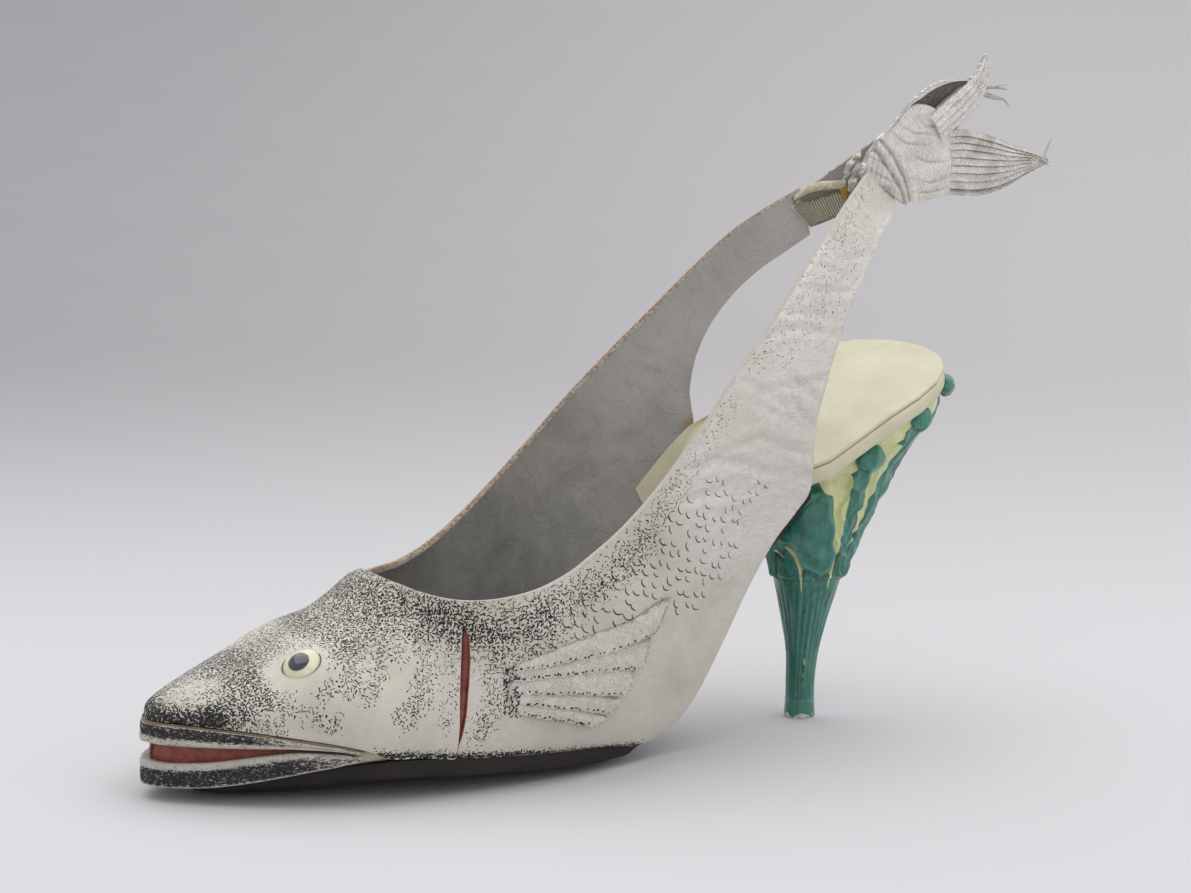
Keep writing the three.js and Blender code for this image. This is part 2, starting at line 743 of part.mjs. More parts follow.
function floorAt(share, y) {
  const row = floorRow(share);
  const outer = -row.outer * HALF;
  const inner = row.inner * HALF;
  const across = (y - outer) / (inner - outer);
  const edge = Math.min(Math.abs(across - 0.5) * 2, 1);
  return THREE.MathUtils.lerp(row.outerZ, row.innerZ, across) * SEAT_HEIGHT
    - row.dish * SEAT_HEIGHT * (1 - edge * edge);
}

function floorPoint(share, across, inset, drop) {
  const row = floorRow(share);
  const y = THREE.MathUtils.lerp(-row.outer * HALF + inset, row.inner * HALF - inset, across);
  return new THREE.Vector3(lengthAt(share), y, floorAt(share, y) - drop);
}

function floorShares(from, to) {
  const inside = FLOOR.map((row) => row.x).filter((x) => x > from + 0.004 && x < to - 0.004);
  return [from, ...inside, to];
}

function floorSlab(from, to, inset, dropTop, dropBottom) {
  const grid = (drop) => floorShares(from, to).map((share) => (
    Array.from({ length: FLOOR_STEPS + 1 }, (_, j) => floorPoint(share, j / FLOOR_STEPS, inset, drop))));
  return slab(grid(dropTop), grid(dropBottom));
}

const insoleSolid = () => floorSlab(FLOOR[0].x, SEAT_END, 0, 0, INSOLE_THICK);

// Outsole: rises with the foot's arch and stays flat on the floor under the ball
function outsoleSolid() {
  const top = INSOLE_THICK + GAP;
  const shares = floorShares(FLOOR[1].x, BREAST);
  const layer = (drop) => shares.map((share) => {
    const welt = floorRow(share).welt * HALF;
    return Array.from({ length: SOLE_STEPS + 1 }, (_, j) => {
      const at = floorPoint(share, j / SOLE_STEPS, -welt, top + drop);
      return at.setZ(Math.max(at.z, 0));
    });
  });
  return slab(layer(0), layer(OUTSOLE_THICK));
}

const sockSolid = () => floorSlab(0.655, SEAT_END - 0.006, SOCK_INSET, -(SOCK_THICK + GAP), -GAP);

// Heel: carved shaft with flutes, fronds and buds, cut to the underside of the insole
function heelPoint(rowShare, turn) {
  const row = blend(HEEL, placeOf(HEEL, 'z', rowShare));
  const angle = turn * 2 * Math.PI;
  const flute = Math.cos(angle * FLUTE_COUNT) * FLUTE_DEPTH * Math.max(0, 1 - rowShare / 0.6);
  let relief = 0;
  for (const frond of FRONDS) {
    const f = (rowShare - frond.z0) / (frond.z1 - frond.z0);
    if (f > 0 && f < 1) {
      const centre = THREE.MathUtils.lerp(frond.turn0, frond.turn1, f) + frond.wave * Math.sin(f * 9);
      const away = Math.abs(((turn - centre + 1.5) % 1) - 0.5) / frond.width;
      const ends = Math.min(1, f * 6) * Math.min(1, (1 - f) * 8);
      relief = Math.max(relief, ends * Math.max(0, 1 - away * away));
    }
  }
  const swell = flute + relief * FROND_RELIEF;
  return new THREE.Vector3(
    lengthAt(row.x) + Math.cos(angle) * (row.half * HALF + swell),
    Math.sin(angle) * (row.width * HALF + swell),
    rowShare * SEAT_HEIGHT);
}

function heelSolid() {
  const low = TOP_PIECE_HEIGHT / SEAT_HEIGHT + GAP / SEAT_HEIGHT;
  const high = HEEL[HEEL.length - 1].z - GAP / SEAT_HEIGHT;
  const rings = Array.from({ length: HEEL_LEVELS + 1 }, (_, i) => {
    const height = THREE.MathUtils.lerp(low, high, i / HEEL_LEVELS);
    return Array.from({ length: HEEL_SIDES }, (__, j) => heelPoint(height, j / HEEL_SIDES));
  });
  let solid = toManifold(sweepSolid(rings));
  for (const bud of BUDS) {
    const at = heelPoint(bud.z, bud.turn);
    const ball = new THREE.SphereGeometry(BUD_RADIUS, 12, 8);
    ball.deleteAttribute('normal');
    ball.deleteAttribute('uv');
    ball.translate(
      at.x + Math.cos(bud.turn * 2 * Math.PI) * bud.out,
      at.y + Math.sin(bud.turn * 2 * Math.PI) * bud.out,
      at.z);
    solid = solid.add(toManifold(mergeVertices(ball, 1e-4)));
  }
  return fromManifold(solid.subtract(toManifold(aboveHeel())));
}

// Everything above the underside of the insole, and the end of the outsole
function aboveHeel() {
  const underSole = INSOLE_THICK + OUTSOLE_THICK + GAP * 2;
  const underSeat = INSOLE_THICK + GAP;
  const step = BREAST + GAP / LENGTH;
  const ahead = floorShares(0.60, step).map((share) => ({ share, drop: underSole }));
  const behind = floorShares(step + 0.0002, SEAT_END).map((share) => ({ share, drop: underSeat }));
  const past = [{ share: SEAT_END + 0.004, drop: underSeat }];
  const layer = (height) => [...ahead, ...behind, ...past].map(({ share, drop }) => (
    Array.from({ length: FLOOR_STEPS + 1 }, (_, j) => {
      const y = THREE.MathUtils.lerp(-HALF, HALF, j / FLOOR_STEPS);
      const z = height === null ? floorAt(Math.min(share, 0.96), y) - drop : height;
      return new THREE.Vector3(lengthAt(share), y, z);
    })));
  return slab(layer(SEAT_HEIGHT * 2), layer(null));
}

function topPieceSolid() {
  const rings = [[0, TIP_RADIUS], [TOP_PIECE_HEIGHT, TIP_RADIUS * TIP_TAPER]].map(([z, radius]) => (
    Array.from({ length: TIP_SIDES }, (_, j) => {
      const angle = (j / TIP_SIDES) * 2 * Math.PI;
      return new THREE.Vector3(
        lengthAt(HEEL[0].x) + Math.cos(angle) * radius, Math.sin(angle) * radius, z);
    })));
  return sweepSolid(rings);
}

// Fin: overlapping pleated rays that lie on the skin
function finSolid(side) {
  const columns = FIN_STEPS;
  const rowsOut = [];
  RAYS.forEach((ray, i) => {
    for (const edge of [0, 1]) {
      const f = (i + edge * 0.92) / RAYS.length;
      const end = edge === 0 ? [ray.x0, ray.z0] : [ray.x1, ray.z1];
      const base = [THREE.MathUtils.lerp(FIN_BASE[0].x, FIN_BASE[1].x, f),
        THREE.MathUtils.lerp(FIN_BASE[0].z, FIN_BASE[1].z, f)];
      rowsOut.push({ base, end, lift: edge === 0 ? FIN_STEP : 0 });
    }
  });
  const layer = (height) => rowsOut.map(({ base, end, lift }) => (
    Array.from({ length: columns + 1 }, (_, j) => {
      const f = j / columns;
      const x = lengthAt(THREE.MathUtils.lerp(base[0], end[0], f));
      const z = THREE.MathUtils.lerp(base[1], end[1], f) * SEAT_HEIGHT;
      const found = findSkin(side, x, z);
      const rise = height * FIN_THICK + (height > 0 ? lift * f : 0) + 0.6 * f * f;
      return skin(side, found.row, found.t, -(GAP + 0.05 + rise));
    })));
  return slab(layer(1), layer(0));
}

// Tail pieces: pleated sheets in the plane of the joined straps
const TAIL_Y = -0.6;
function tailSolid(outline, pleats, thick) {
  const rows = outline.map((p) => new THREE.Vector2(lengthAt(p.x), p.z * SEAT_HEIGHT));
  const half = Math.floor(rows.length / 2);
  const steps = TAIL_STEPS;
  const chain = (list, f) => {
    const at = f * (list.length - 1);
    const i = Math.min(Math.floor(at), list.length - 2);
    return list[i].clone().lerp(list[i + 1], at - i);
  };
  const upper = rows.slice(0, half + 1);
  const lower = [rows[0], ...rows.slice(half + 1).reverse()];
  lower.push(rows[half]);
  const layer = (face) => Array.from({ length: steps + 1 }, (_, i) => {
    const f = Math.min(Math.max(i / steps, 0.02), 0.98);
    const [a, b] = [chain(upper, f), chain(lower, f)];
    const across = pleats * 2;
    return Array.from({ length: across + 1 }, (__, j) => {
      const p = a.clone().lerp(b, j / across);
      const fold = (j % 2 === 0 ? 1 : -1) * TAIL_PLEAT;
      return new THREE.Vector3(p.x, TAIL_Y + face * (thick / 2) + fold, p.y);
    });
  });
  return slab(layer(-1), layer(1));
}

// Elastic between the end of the inner strap and the tail: where it ends on the tail
const ELASTIC_END = table('x z', [
  [0.905, 1.475],
  [0.894, 1.620],
]);
function elasticSolid() {
  const steps = ELASTIC_STEPS;
  const depth0 = (WALL - ELASTIC_THICK) / 2;
  const low0 = skin(INNER, LAST_ROW, 0.12, depth0);
  const top0 = skin(INNER, LAST_ROW, 0.92, depth0);
  const endY = TAIL_Y + TAIL_THICK / 2 + TAIL_PLEAT + ELASTIC_THICK + GAP;
  const [low1, top1] = ELASTIC_END.map((row) => (
    new THREE.Vector3(lengthAt(row.x), endY, row.z * SEAT_HEIGHT)));
  const away = low1.clone().sub(low0).normalize().multiplyScalar(GAP);
  low0.add(away);
  top0.add(away);
  const layer = (depth) => Array.from({ length: steps + 1 }, (_, i) => {
    const f = i / steps;
    const low = low0.clone().lerp(low1, f);
    const top = top0.clone().lerp(top1, f);
    const out = new THREE.Vector3(0.45 * (1 - f), 1, 0).normalize().multiplyScalar(depth);
    return [0, 0.5, 1].map((g) => low.clone().lerp(top, g).add(out));
  });
  return slab(layer(0), layer(-ELASTIC_THICK));
}

const skinLeather = new THREE.MeshStandardMaterial({ color: 0xc6c4ba, roughness: 0.5, metalness: 0 });
const lipLeather = new THREE.MeshStandardMaterial({ color: 0x8f8f8c, roughness: 0.5, metalness: 0 });
const redLeather = new THREE.MeshStandardMaterial({ color: 0x8c372d, roughness: 0.55, metalness: 0 });
const soleLeather = new THREE.MeshStandardMaterial({ color: 0x241d1a, roughness: 0.6, metalness: 0 });
const creamLeather = new THREE.MeshStandardMaterial({ color: 0xd9d5b6, roughness: 0.5, metalness: 0 });
const sockLeather = new THREE.MeshStandardMaterial({ color: 0xd6d2b4, roughness: 0.5, metalness: 0 });
const heelPaint = new THREE.MeshStandardMaterial({ color: 0x2d7864, roughness: 0.35, metalness: 0 });
const tipRubber = new THREE.MeshStandardMaterial({ color: 0x2f6f5f, roughness: 0.6, metalness: 0 });
const eyeWhite = new THREE.MeshStandardMaterial({ color: 0xe6e2cf, roughness: 0.15, metalness: 0 });
const eyeBlack = new THREE.MeshStandardMaterial({ color: 0x14141c, roughness: 0.1, metalness: 0 });
const silverLeather = new THREE.MeshStandardMaterial({ color: 0xbdbcb4, roughness: 0.35, metalness: 0.3 });
const ivoryElastic = new THREE.MeshStandardMaterial({ color: 0xd4cdb4, roughness: 0.85, metalness: 0 });

const shoe = new THREE.Group();

function addPart(name, geometry, material) {
  const mesh = new THREE.Mesh(geometry, material.clone());
  mesh.name = name;
  shoe.add(mesh);
}

addPart('upper', upperSolid(), skinLeather);
addPart('upper_lip', mouthBand('lipTop', 'lipBottom', LIP_SECTION, { top: -GAP, bottom: 0 }), lipLeather);
addPart('lower_jaw', mouthBand('jawTop', 'jawBottom', LIP_SECTION, { top: -GAP, bottom: 0 }), lipLeather);
addPart('mouth_lining', liningSolid(), redLeather);
addPart('outsole', outsoleSolid(), soleLeather);
addPart('insole', insoleSolid(), creamLeather);
addPart('heel_sock', sockSolid(), sockLeather);
addPart('heel', heelSolid(), heelPaint);
addPart('top_piece', topPieceSolid(), tipRubber);
for (const [word, side] of [['outer', OUTER], ['inner', INNER]]) {
  addPart(`eye_${word}`, eyeSolid(side), eyeWhite);
  addPart(`pupil_${word}`, pupilSolid(side), eyeBlack);
  addPart(`gill_${word}`, gillPatch(side, 1, GILL_DEPTH - GAP - GILL_SHEET, GILL_DEPTH - GAP), redLeather);
  addPart(`fin_${word}`, finSolid(side), silverLeather);
}
addPart('tail_base', tailSolid(TAIL_BASE, 3, TAIL_THICK), silverLeather);
addPart('tail_lobe_upper', tailSolid(TAIL_UPPER, TAIL_PLEATS, TAIL_THICK), silverLeather);
addPart('tail_lobe_lower', tailSolid(TAIL_LOWER, TAIL_PLEATS, TAIL_THICK), silverLeather);
addPart('strap_elastic', elasticSolid(), ivoryElastic);

export default shoe;
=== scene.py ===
"""Slingback shoe shaped as a fish: the looks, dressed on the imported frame.

Lengths are millimetres until a mesh is built. The toe points to -X, +Y is the inner side.
"""

import math

import bmesh
import bpy
import numpy as np
from mathutils import Matrix, Vector
from mathutils.bvhtree import BVHTree


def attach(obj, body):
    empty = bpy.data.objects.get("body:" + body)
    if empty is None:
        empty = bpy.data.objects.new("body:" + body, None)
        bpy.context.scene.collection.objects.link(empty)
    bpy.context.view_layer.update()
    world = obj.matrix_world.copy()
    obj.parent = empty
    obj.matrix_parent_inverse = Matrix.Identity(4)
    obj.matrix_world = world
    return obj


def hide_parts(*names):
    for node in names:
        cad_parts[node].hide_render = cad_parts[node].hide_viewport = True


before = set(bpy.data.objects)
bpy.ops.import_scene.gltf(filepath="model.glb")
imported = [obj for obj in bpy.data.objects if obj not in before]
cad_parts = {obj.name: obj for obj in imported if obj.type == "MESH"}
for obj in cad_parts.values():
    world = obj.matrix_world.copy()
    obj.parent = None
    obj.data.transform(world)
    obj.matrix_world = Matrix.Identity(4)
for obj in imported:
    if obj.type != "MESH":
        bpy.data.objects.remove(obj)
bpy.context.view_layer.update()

# Metres in a millimetre, and back
MM, TO_MM = 0.001, 1000

# Sizes and tables of the part's source. The tables hold shares: lengths of LENGTH, widths of
# HALF and heights of SEAT_HEIGHT
LENGTH = 222
TOE_SET = 72.5
BALL_WIDTH = 72
SEAT_HEIGHT = 88
WALL = 1.8
INSOLE_THICK = 3.0
OUTSOLE_THICK = 4.3
LIP_PROUD = 1.0
LIP_DEPTH = 2.6
EYE_RADIUS = 4.9
EYE_DOME = 0.9
PUPIL_RADIUS = 2.5
TOP_PIECE_HEIGHT = 4.6
TIP_RADIUS = 3.9
BREAST = 0.7655
CORNER = 7
EYE_Z = 0.372
INNER_EYE_Z = 0.262
# columns: x y z
EDGE_OUTER = np.array([
    [0.0045, 0, 0.222], [0.013, 0.122, 0.223], [0.0293, 0.222, 0.222], [0.0563, 0.356, 0.217],
    [0.0923, 0.508, 0.208], [0.1329, 0.65, 0.193], [0.1734, 0.772, 0.175], [0.205, 0.842, 0.155],
    [0.2297, 0.87, 0.13], [0.2635, 0.883, 0.124], [0.2995, 0.883, 0.113], [0.3401, 0.875, 0.102],
    [0.3896, 0.85, 0.093], [0.4437, 0.806, 0.083], [0.4976, 0.74, 0.073], [0.548, 0.67, 0.057],
    [0.5882, 0.62, 0.083], [0.6216, 0.6, 0.16], [0.6556, 0.597, 0.304], [0.6887, 0.606, 0.466],
    [0.7176, 0.622, 0.587], [0.7417, 0.644, 0.664], [0.757, 0.678, 0.728], [0.7566, 0.722, 0.818],
    [0.758, 0.733, 0.908], [0.7675, 0.728, 1.004], [0.7865, 0.683, 1.121], [0.8145, 0.594, 1.246],
    [0.8515, 0.439, 1.35], [0.881, 0.292, 1.412], [0.9088, 0.144, 1.443]])
# columns: x y z
EDGE_INNER = np.array([
    [0.0045, 0, 0.222], [0.0135, 0.128, 0.223], [0.0302, 0.239, 0.222], [0.0577, 0.378, 0.217],
    [0.0937, 0.525, 0.208], [0.1342, 0.656, 0.193], [0.1748, 0.761, 0.175], [0.2063, 0.819, 0.155],
    [0.2311, 0.86, 0.12], [0.2635, 0.88, 0.116], [0.2995, 0.894, 0.109], [0.3401, 0.9, 0.102],
    [0.3851, 0.885, 0.091], [0.4347, 0.836, 0.083], [0.4797, 0.761, 0.079], [0.5158, 0.683, 0.088],
    [0.5473, 0.606, 0.126], [0.5788, 0.539, 0.199], [0.6104, 0.517, 0.307], [0.6396, 0.519, 0.424],
    [0.6689, 0.539, 0.551], [0.6937, 0.578, 0.663], [0.7185, 0.639, 0.78], [0.7245, 0.711, 0.852],
    [0.7272, 0.739, 0.927], [0.7372, 0.744, 1.009], [0.7534, 0.717, 1.096], [0.7742, 0.647, 1.181],
    [0.7988, 0.55, 1.256], [0.8218, 0.444, 1.313], [0.845, 0.333, 1.37]])
# columns: x y z
RIDGE = np.array([
    [0.0045, 0, 0.222], [0.0144, 0.012, 0.258], [0.0279, 0.022, 0.269], [0.0541, 0.028, 0.288],
    [0.0901, 0.033, 0.32], [0.1306, 0.042, 0.36], [0.1712, 0.05, 0.406], [0.205, 0.056, 0.432],
    [0.232, 0.056, 0.463], [0.2554, 0.061, 0.512], [0.2734, 0.069, 0.559]])
# columns: x y z
COLLAR_OUTER = np.array([
    [0.2886, 0.361, 0.544], [0.3131, 0.656, 0.533], [0.3489, 0.833, 0.536], [0.3934, 0.922, 0.556],
    [0.4327, 0.956, 0.595], [0.4654, 0.972, 0.648], [0.492, 0.978, 0.696], [0.518, 0.972, 0.75],
    [0.544, 0.961, 0.812], [0.572, 0.942, 0.884], [0.5973, 0.922, 0.95], [0.6205, 0.897, 1.018],
    [0.6421, 0.869, 1.083], [0.6669, 0.833, 1.147], [0.6928, 0.789, 1.211], [0.72, 0.731, 1.282],
    [0.7497, 0.653, 1.356], [0.784, 0.542, 1.43], [0.8235, 0.383, 1.5], [0.873, 0.144, 1.554]])
# columns: x y z
COLLAR_INNER = np.array([
    [0.3068, 0.319, 0.541], [0.3441, 0.514, 0.531], [0.3835, 0.639, 0.549], [0.419, 0.722, 0.586],
    [0.4513, 0.778, 0.634], [0.4815, 0.817, 0.689], [0.5108, 0.847, 0.749], [0.5405, 0.869, 0.812],
    [0.5696, 0.881, 0.88], [0.5995, 0.875, 0.951], [0.6296, 0.856, 1.022], [0.6585, 0.828, 1.091],
    [0.6837, 0.797, 1.152], [0.706, 0.767, 1.208], [0.7277, 0.731, 1.262], [0.7486, 0.686, 1.316],
    [0.7695, 0.633, 1.367], [0.7906, 0.564, 1.412], [0.812, 0.483, 1.453], [0.8356, 0.389, 1.497]])
# columns: flare rise spread drop
FULLNESS = np.array([
    [0, 0.5, 0, 0], [0.03, 0.62, 0.09, 0], [0.04, 0.68, 0.17, 0], [0.05, 0.72, 0.27, 0],
    [0.05, 0.75, 0.37, 0], [0.05, 0.76, 0.46, 0], [0.06, 0.76, 0.54, 0], [0.09, 0.72, 0.6, 0.01],
    [0.12, 0.5, 0.63, 0.02], [0.12, 0.34, 0.65, 0.03], [0.12, 0.22, 0.67, 0.04],
    [0.13, 0.14, 0.44, 0.1], [0.14, 0.1, 0.3, 0.18], [0.16, 0.09, 0.2, 0.24], [0.19, 0.08, 0.13, 0.28],
    [0.21, 0.09, 0.09, 0.3], [0.2, 0.12, 0.07, 0.32], [0.16, 0.16, 0.06, 0.33],
    [0.13, 0.2, 0.05, 0.33], [0.11, 0.24, 0.05, 0.33], [0.09, 0.28, 0.04, 0.33],
    [0.07, 0.3, 0.04, 0.33], [0.05, 0.32, 0.03, 0.33], [0.04, 0.33, 0.03, 0.33],
    [0.03, 0.33, 0.03, 0.33], [0.03, 0.33, 0.03, 0.33], [0.03, 0.33, 0.02, 0.33],
    [0.03, 0.33, 0.02, 0.33], [0.02, 0.33, 0.02, 0.33], [0.01, 0.33, 0.01, 0.33], [0, 0.33, 0, 0.33]])
# columns: x outer outerZ inner innerZ dish welt
FLOOR = np.array([
    [0.048, 0.06, 0.106, 0.065, 0.106, 0.002, 0], [0.058, 0.16, 0.107, 0.17, 0.107, 0.01, 0],
    [0.079, 0.3, 0.11, 0.315, 0.11, 0.022, 0], [0.146, 0.53, 0.124, 0.535, 0.124, 0.046, 0],
    [0.19, 0.65, 0.136, 0.65, 0.136, 0.056, 0], [0.236, 0.765, 0.152, 0.765, 0.152, 0.066, 0.05],
    [0.327, 0.8, 0.138, 0.82, 0.14, 0.06, 0.06], [0.417, 0.75, 0.121, 0.775, 0.121, 0.046, 0.06],
    [0.484, 0.675, 0.108, 0.665, 0.113, 0.03, 0.05], [0.538, 0.585, 0.108, 0.545, 0.148, 0.018, 0.03],
    [0.583, 0.525, 0.16, 0.475, 0.255, 0.01, 0], [0.628, 0.51, 0.278, 0.45, 0.42, 0.006, 0],
    [0.673, 0.52, 0.452, 0.46, 0.6, 0.004, 0], [0.718, 0.54, 0.632, 0.52, 0.765, 0.004, 0],
    [0.7655, 0.6, 0.776, 0.595, 0.867, 0.006, 0], [0.785, 0.66, 0.798, 0.63, 0.898, 0.008, 0],
    [0.813, 0.69, 0.845, 0.66, 0.937, 0.01, 0], [0.86, 0.7, 0.915, 0.68, 0.982, 0.012, 0],
    [0.899, 0.66, 0.955, 0.655, 1.006, 0.012, 0], [0.931, 0.55, 0.982, 0.56, 1.018, 0.01, 0],
    [0.955, 0.39, 1, 0.41, 1.023, 0.006, 0], [0.969, 0.21, 1.01, 0.24, 1.023, 0.002, 0],
    [0.977, 0.04, 1.014, 0.05, 1.021, 0, 0]])
# columns: z x half width
HEEL = np.array([
    [0.055, 0.812, 0.104, 0.104], [0.11, 0.812, 0.106, 0.106], [0.19, 0.8135, 0.12, 0.118],
    [0.28, 0.8155, 0.161, 0.157], [0.35, 0.8172, 0.203, 0.197], [0.42, 0.8189, 0.248, 0.238],
    [0.49, 0.8215, 0.296, 0.27], [0.57, 0.8256, 0.36, 0.33], [0.65, 0.8335, 0.415, 0.392],
    [0.73, 0.8425, 0.462, 0.452], [0.81, 0.8562, 0.522, 0.525], [0.9, 0.8693, 0.597, 0.59],
    [1.1, 0.8693, 0.597, 0.59]])
# columns: row lipTop lipBottom jawTop jawBottom
MOUTH = np.array([
    [0, 0.219, 0.16, 0.112, 0.04], [1, 0.22, 0.16, 0.112, 0.041], [2, 0.219, 0.16, 0.114, 0.043],
    [3, 0.214, 0.161, 0.122, 0.05], [4, 0.205, 0.163, 0.14, 0.068], [5, 0.19, 0.164, 0.156, 0.092],
    [6, 0.172, 0.158, 0.152, 0.114], [6.7, 0.158, 0.149, 0.145, 0.126]])
HALF = BALL_WIDTH / 2
THROAT = len(RIDGE) - 1
LAST_ROW = len(FULLNESS) - 1
SCALES = np.array([LENGTH, HALF, SEAT_HEIGHT])
OUTER, INNER = -1, 1
WORDS = {OUTER: "outer", INNER: "inner"}


def smooth(value, low, high):
    share = np.clip((value - low) / (high - low), 0, 1)
    return share * share * (3 - 2 * share)


def hump(value, middle, width):
    return np.exp(-(((value - middle) / width) ** 2))


def unit(ways):
    """Ways of length 1."""
    return ways / np.maximum(np.linalg.norm(ways, axis=-1), 1e-9)[..., None]


def around(sides):
    """Angles once round a circle."""
    return np.arange(sides) / sides * 2 * np.pi


def eased(count):
    """Shares from 0 to 1, closer together at both ends."""
    return (1 - np.cos(np.linspace(0, np.pi, count))) / 2


def run_lengths(line):
    """Length along a line of points at each of them."""
    return np.concatenate([[0], np.cumsum(np.linalg.norm(np.diff(line, axis=0), axis=1))])


def spread(widths, count):
    """Widths given at even places, for a number of points."""
    return np.interp(np.linspace(0, 1, count), np.linspace(0, 1, len(widths)), widths)


def waves(points, size, seed, count=22):
    """Smooth noise from about -1 to 1, with waves of about the given size."""
    rng = np.random.default_rng(seed)
    ways = unit(rng.normal(size=(count, 3)))
    turns = 2 * np.pi / (size * rng.uniform(0.7, 1.7, count))
    starts = rng.uniform(0, 2 * np.pi, count)
    total = np.zeros(points.shape[:-1])
    for way, turn, start in zip(ways, turns, starts):
        total += np.sin(points @ (way * turn) + start)
    return total / math.sqrt(count / 2) / 1.5


def path_distance(points, path):
    """Distance of points to a line of points, and the share of its length at the nearest place."""
    path = np.array(path, float)
    spans = np.linalg.norm(np.diff(path, axis=0), axis=1)
    best = np.full(points.shape[:-1], 1e9)
    share = np.zeros(points.shape[:-1])
    done = 0.0
    for start, end, span in zip(path[:-1], path[1:], spans):
        way = end - start
        place = np.clip(((points - start) @ way) / (way @ way), 0, 1)
        far = np.linalg.norm(points - start - place[..., None] * way, axis=-1)
        share = np.where(far < best, (done + place * span) / spans.sum(), share)
        best = np.minimum(best, far)
        done += span
    return best, share


def inside_distance(points, corners):
    """Distance to the outline of a polygon, positive inside it."""
    corners = np.array(corners, float)
    ring = np.vstack([corners, corners[:1]])
    far, _ = path_distance(points, ring)
    odd = np.zeros(points.shape[:-1], bool)
    x, y = points[..., 0], points[..., 1]
    for (x0, y0), (x1, y1) in zip(ring[:-1], ring[1:]):
        if y0 == y1:
            continue
        crosses = ((y0 > y) != (y1 > y)) & (x < (x1 - x0) * (y - y0) / (y1 - y0) + x0)
        odd ^= crosses
    return np.where(odd, far, -far)


def blend(rows, place):
    """Blends the rows of a table at places that aren't whole rows."""
    last = len(rows) - 1
    at = np.clip(np.asarray(place, float), 0, last)
    low = np.minimum(np.floor(at).astype(int), last - 1)
    t = (at - low)[..., None]
    a, b, c, d = [rows[np.clip(low + k, 0, last)] for k in (-1, 0, 1, 2)]
    return 0.5 * (2 * b + (c - a) * t + (2 * a - 5 * b + 4 * c - d) * t * t
                  + (3 * b - a - 3 * c + d) * t ** 3)


def chain(points, share):
    """Points at shares of a smooth line's rows."""
    points = np.array(points, float)
    return blend(points, np.asarray(share, float) * (len(points) - 1))


def at_length(points, share):
    """Points at shares of the length of a smooth line."""
    fine = chain(points, np.linspace(0, 1, 200))
    run = run_lengths(fine)
    return np.stack([np.interp(np.asarray(share) * run[-1], run, column) for column in fine.T], -1)


# Skin of the upper: side is -1 for the outer side and 1 for the inner side
def to_point(rows, side):
    out = rows * SCALES
    out[..., 1] *= side
    out[..., 0] -= TOE_SET
    return out


def skin_outer(side, row, t):
    row, t = np.broadcast_arrays(np.asarray(row, float), np.asarray(t, float))
    low = to_point(blend(EDGE_OUTER if side == OUTER else EDGE_INNER, row), side)
    collar = COLLAR_OUTER if side == OUTER else COLLAR_INNER
    throat = RIDGE[THROAT] * np.array([1, side, 1])
    above = to_point(blend(np.vstack([throat, collar]), row - THROAT), side)
    head = to_point(blend(RIDGE, row), 1)
    top = np.where((row <= THROAT)[..., None], head, above)
    flare, rise, spread, drop = np.moveaxis(blend(FULLNESS, row), -1, 0)
    height = top[..., 2] - low[..., 2]
    lean = (top[..., 0] - low[..., 0]) / 3
    a = low + np.stack([lean, side * flare * HALF, rise * height], -1)
    b = top + np.stack([-lean, side * spread * HALF, -drop * height], -1)
    u = 1 - t
    parts = ((u ** 3, low), (3 * u * u * t, a), (3 * u * t * t, b), (t ** 3, top))
    return sum(weight[..., None] * point for weight, point in parts)


def skin_normal(side, row, t):
    row, t = np.broadcast_arrays(np.asarray(row, float), np.asarray(t, float))
    step = 0.02
    along = (skin_outer(side, np.minimum(row + step, LAST_ROW), t)
             - skin_outer(side, np.maximum(row - step, 0), t))
    up = skin_outer(side, row, np.minimum(t + step, 1)) - skin_outer(side, row, np.maximum(t - step, 0))
    return unit(np.cross(along, up) * -side)


def skin_frame(side, row, t):
    """Points on the skin and the way out of it; both sides share it along the ridge of the head."""
    row, t = np.broadcast_arrays(np.asarray(row, float), np.asarray(t, float))
    out = skin_normal(side, row, t)
    both = unit(out + skin_normal(-side, row, t))
    out = np.where(((t > 0.999) & (row <= THROAT))[..., None], both, out)
    out = np.where((row < 0.01)[..., None], np.array([-1.0, 0, 0]), out)
    return skin_outer(side, row, t), out


def find_skin(side, x, z, row=12.0, t=0.4):
    """Row and t of the outer skin at given lengths and heights."""
    x, z = np.asarray(x, float), np.asarray(z, float)
    row, t = np.full(x.shape, row), np.full(x.shape, t)
    for _ in range(60):
        at = skin_outer(side, row, t)
        by_row = (skin_outer(side, row + 0.05, t) - at) / 0.05
        by_t = (skin_outer(side, row, t + 0.01) - at) / 0.01
        det = by_row[..., 0] * by_t[..., 2] - by_row[..., 2] * by_t[..., 0]
        ex, ez = x - at[..., 0], z - at[..., 2]
        row = row + np.clip((ex * by_t[..., 2] - ez * by_t[..., 0]) / det, -2, 2) * 0.7
        t = t + np.clip((by_row[..., 0] * ez - by_row[..., 2] * ex) / det, -0.2, 0.2) * 0.7
        row, t = np.clip(row, 0.5, LAST_ROW - 0.2), np.clip(t, 0.0, 0.98)
    return row, t


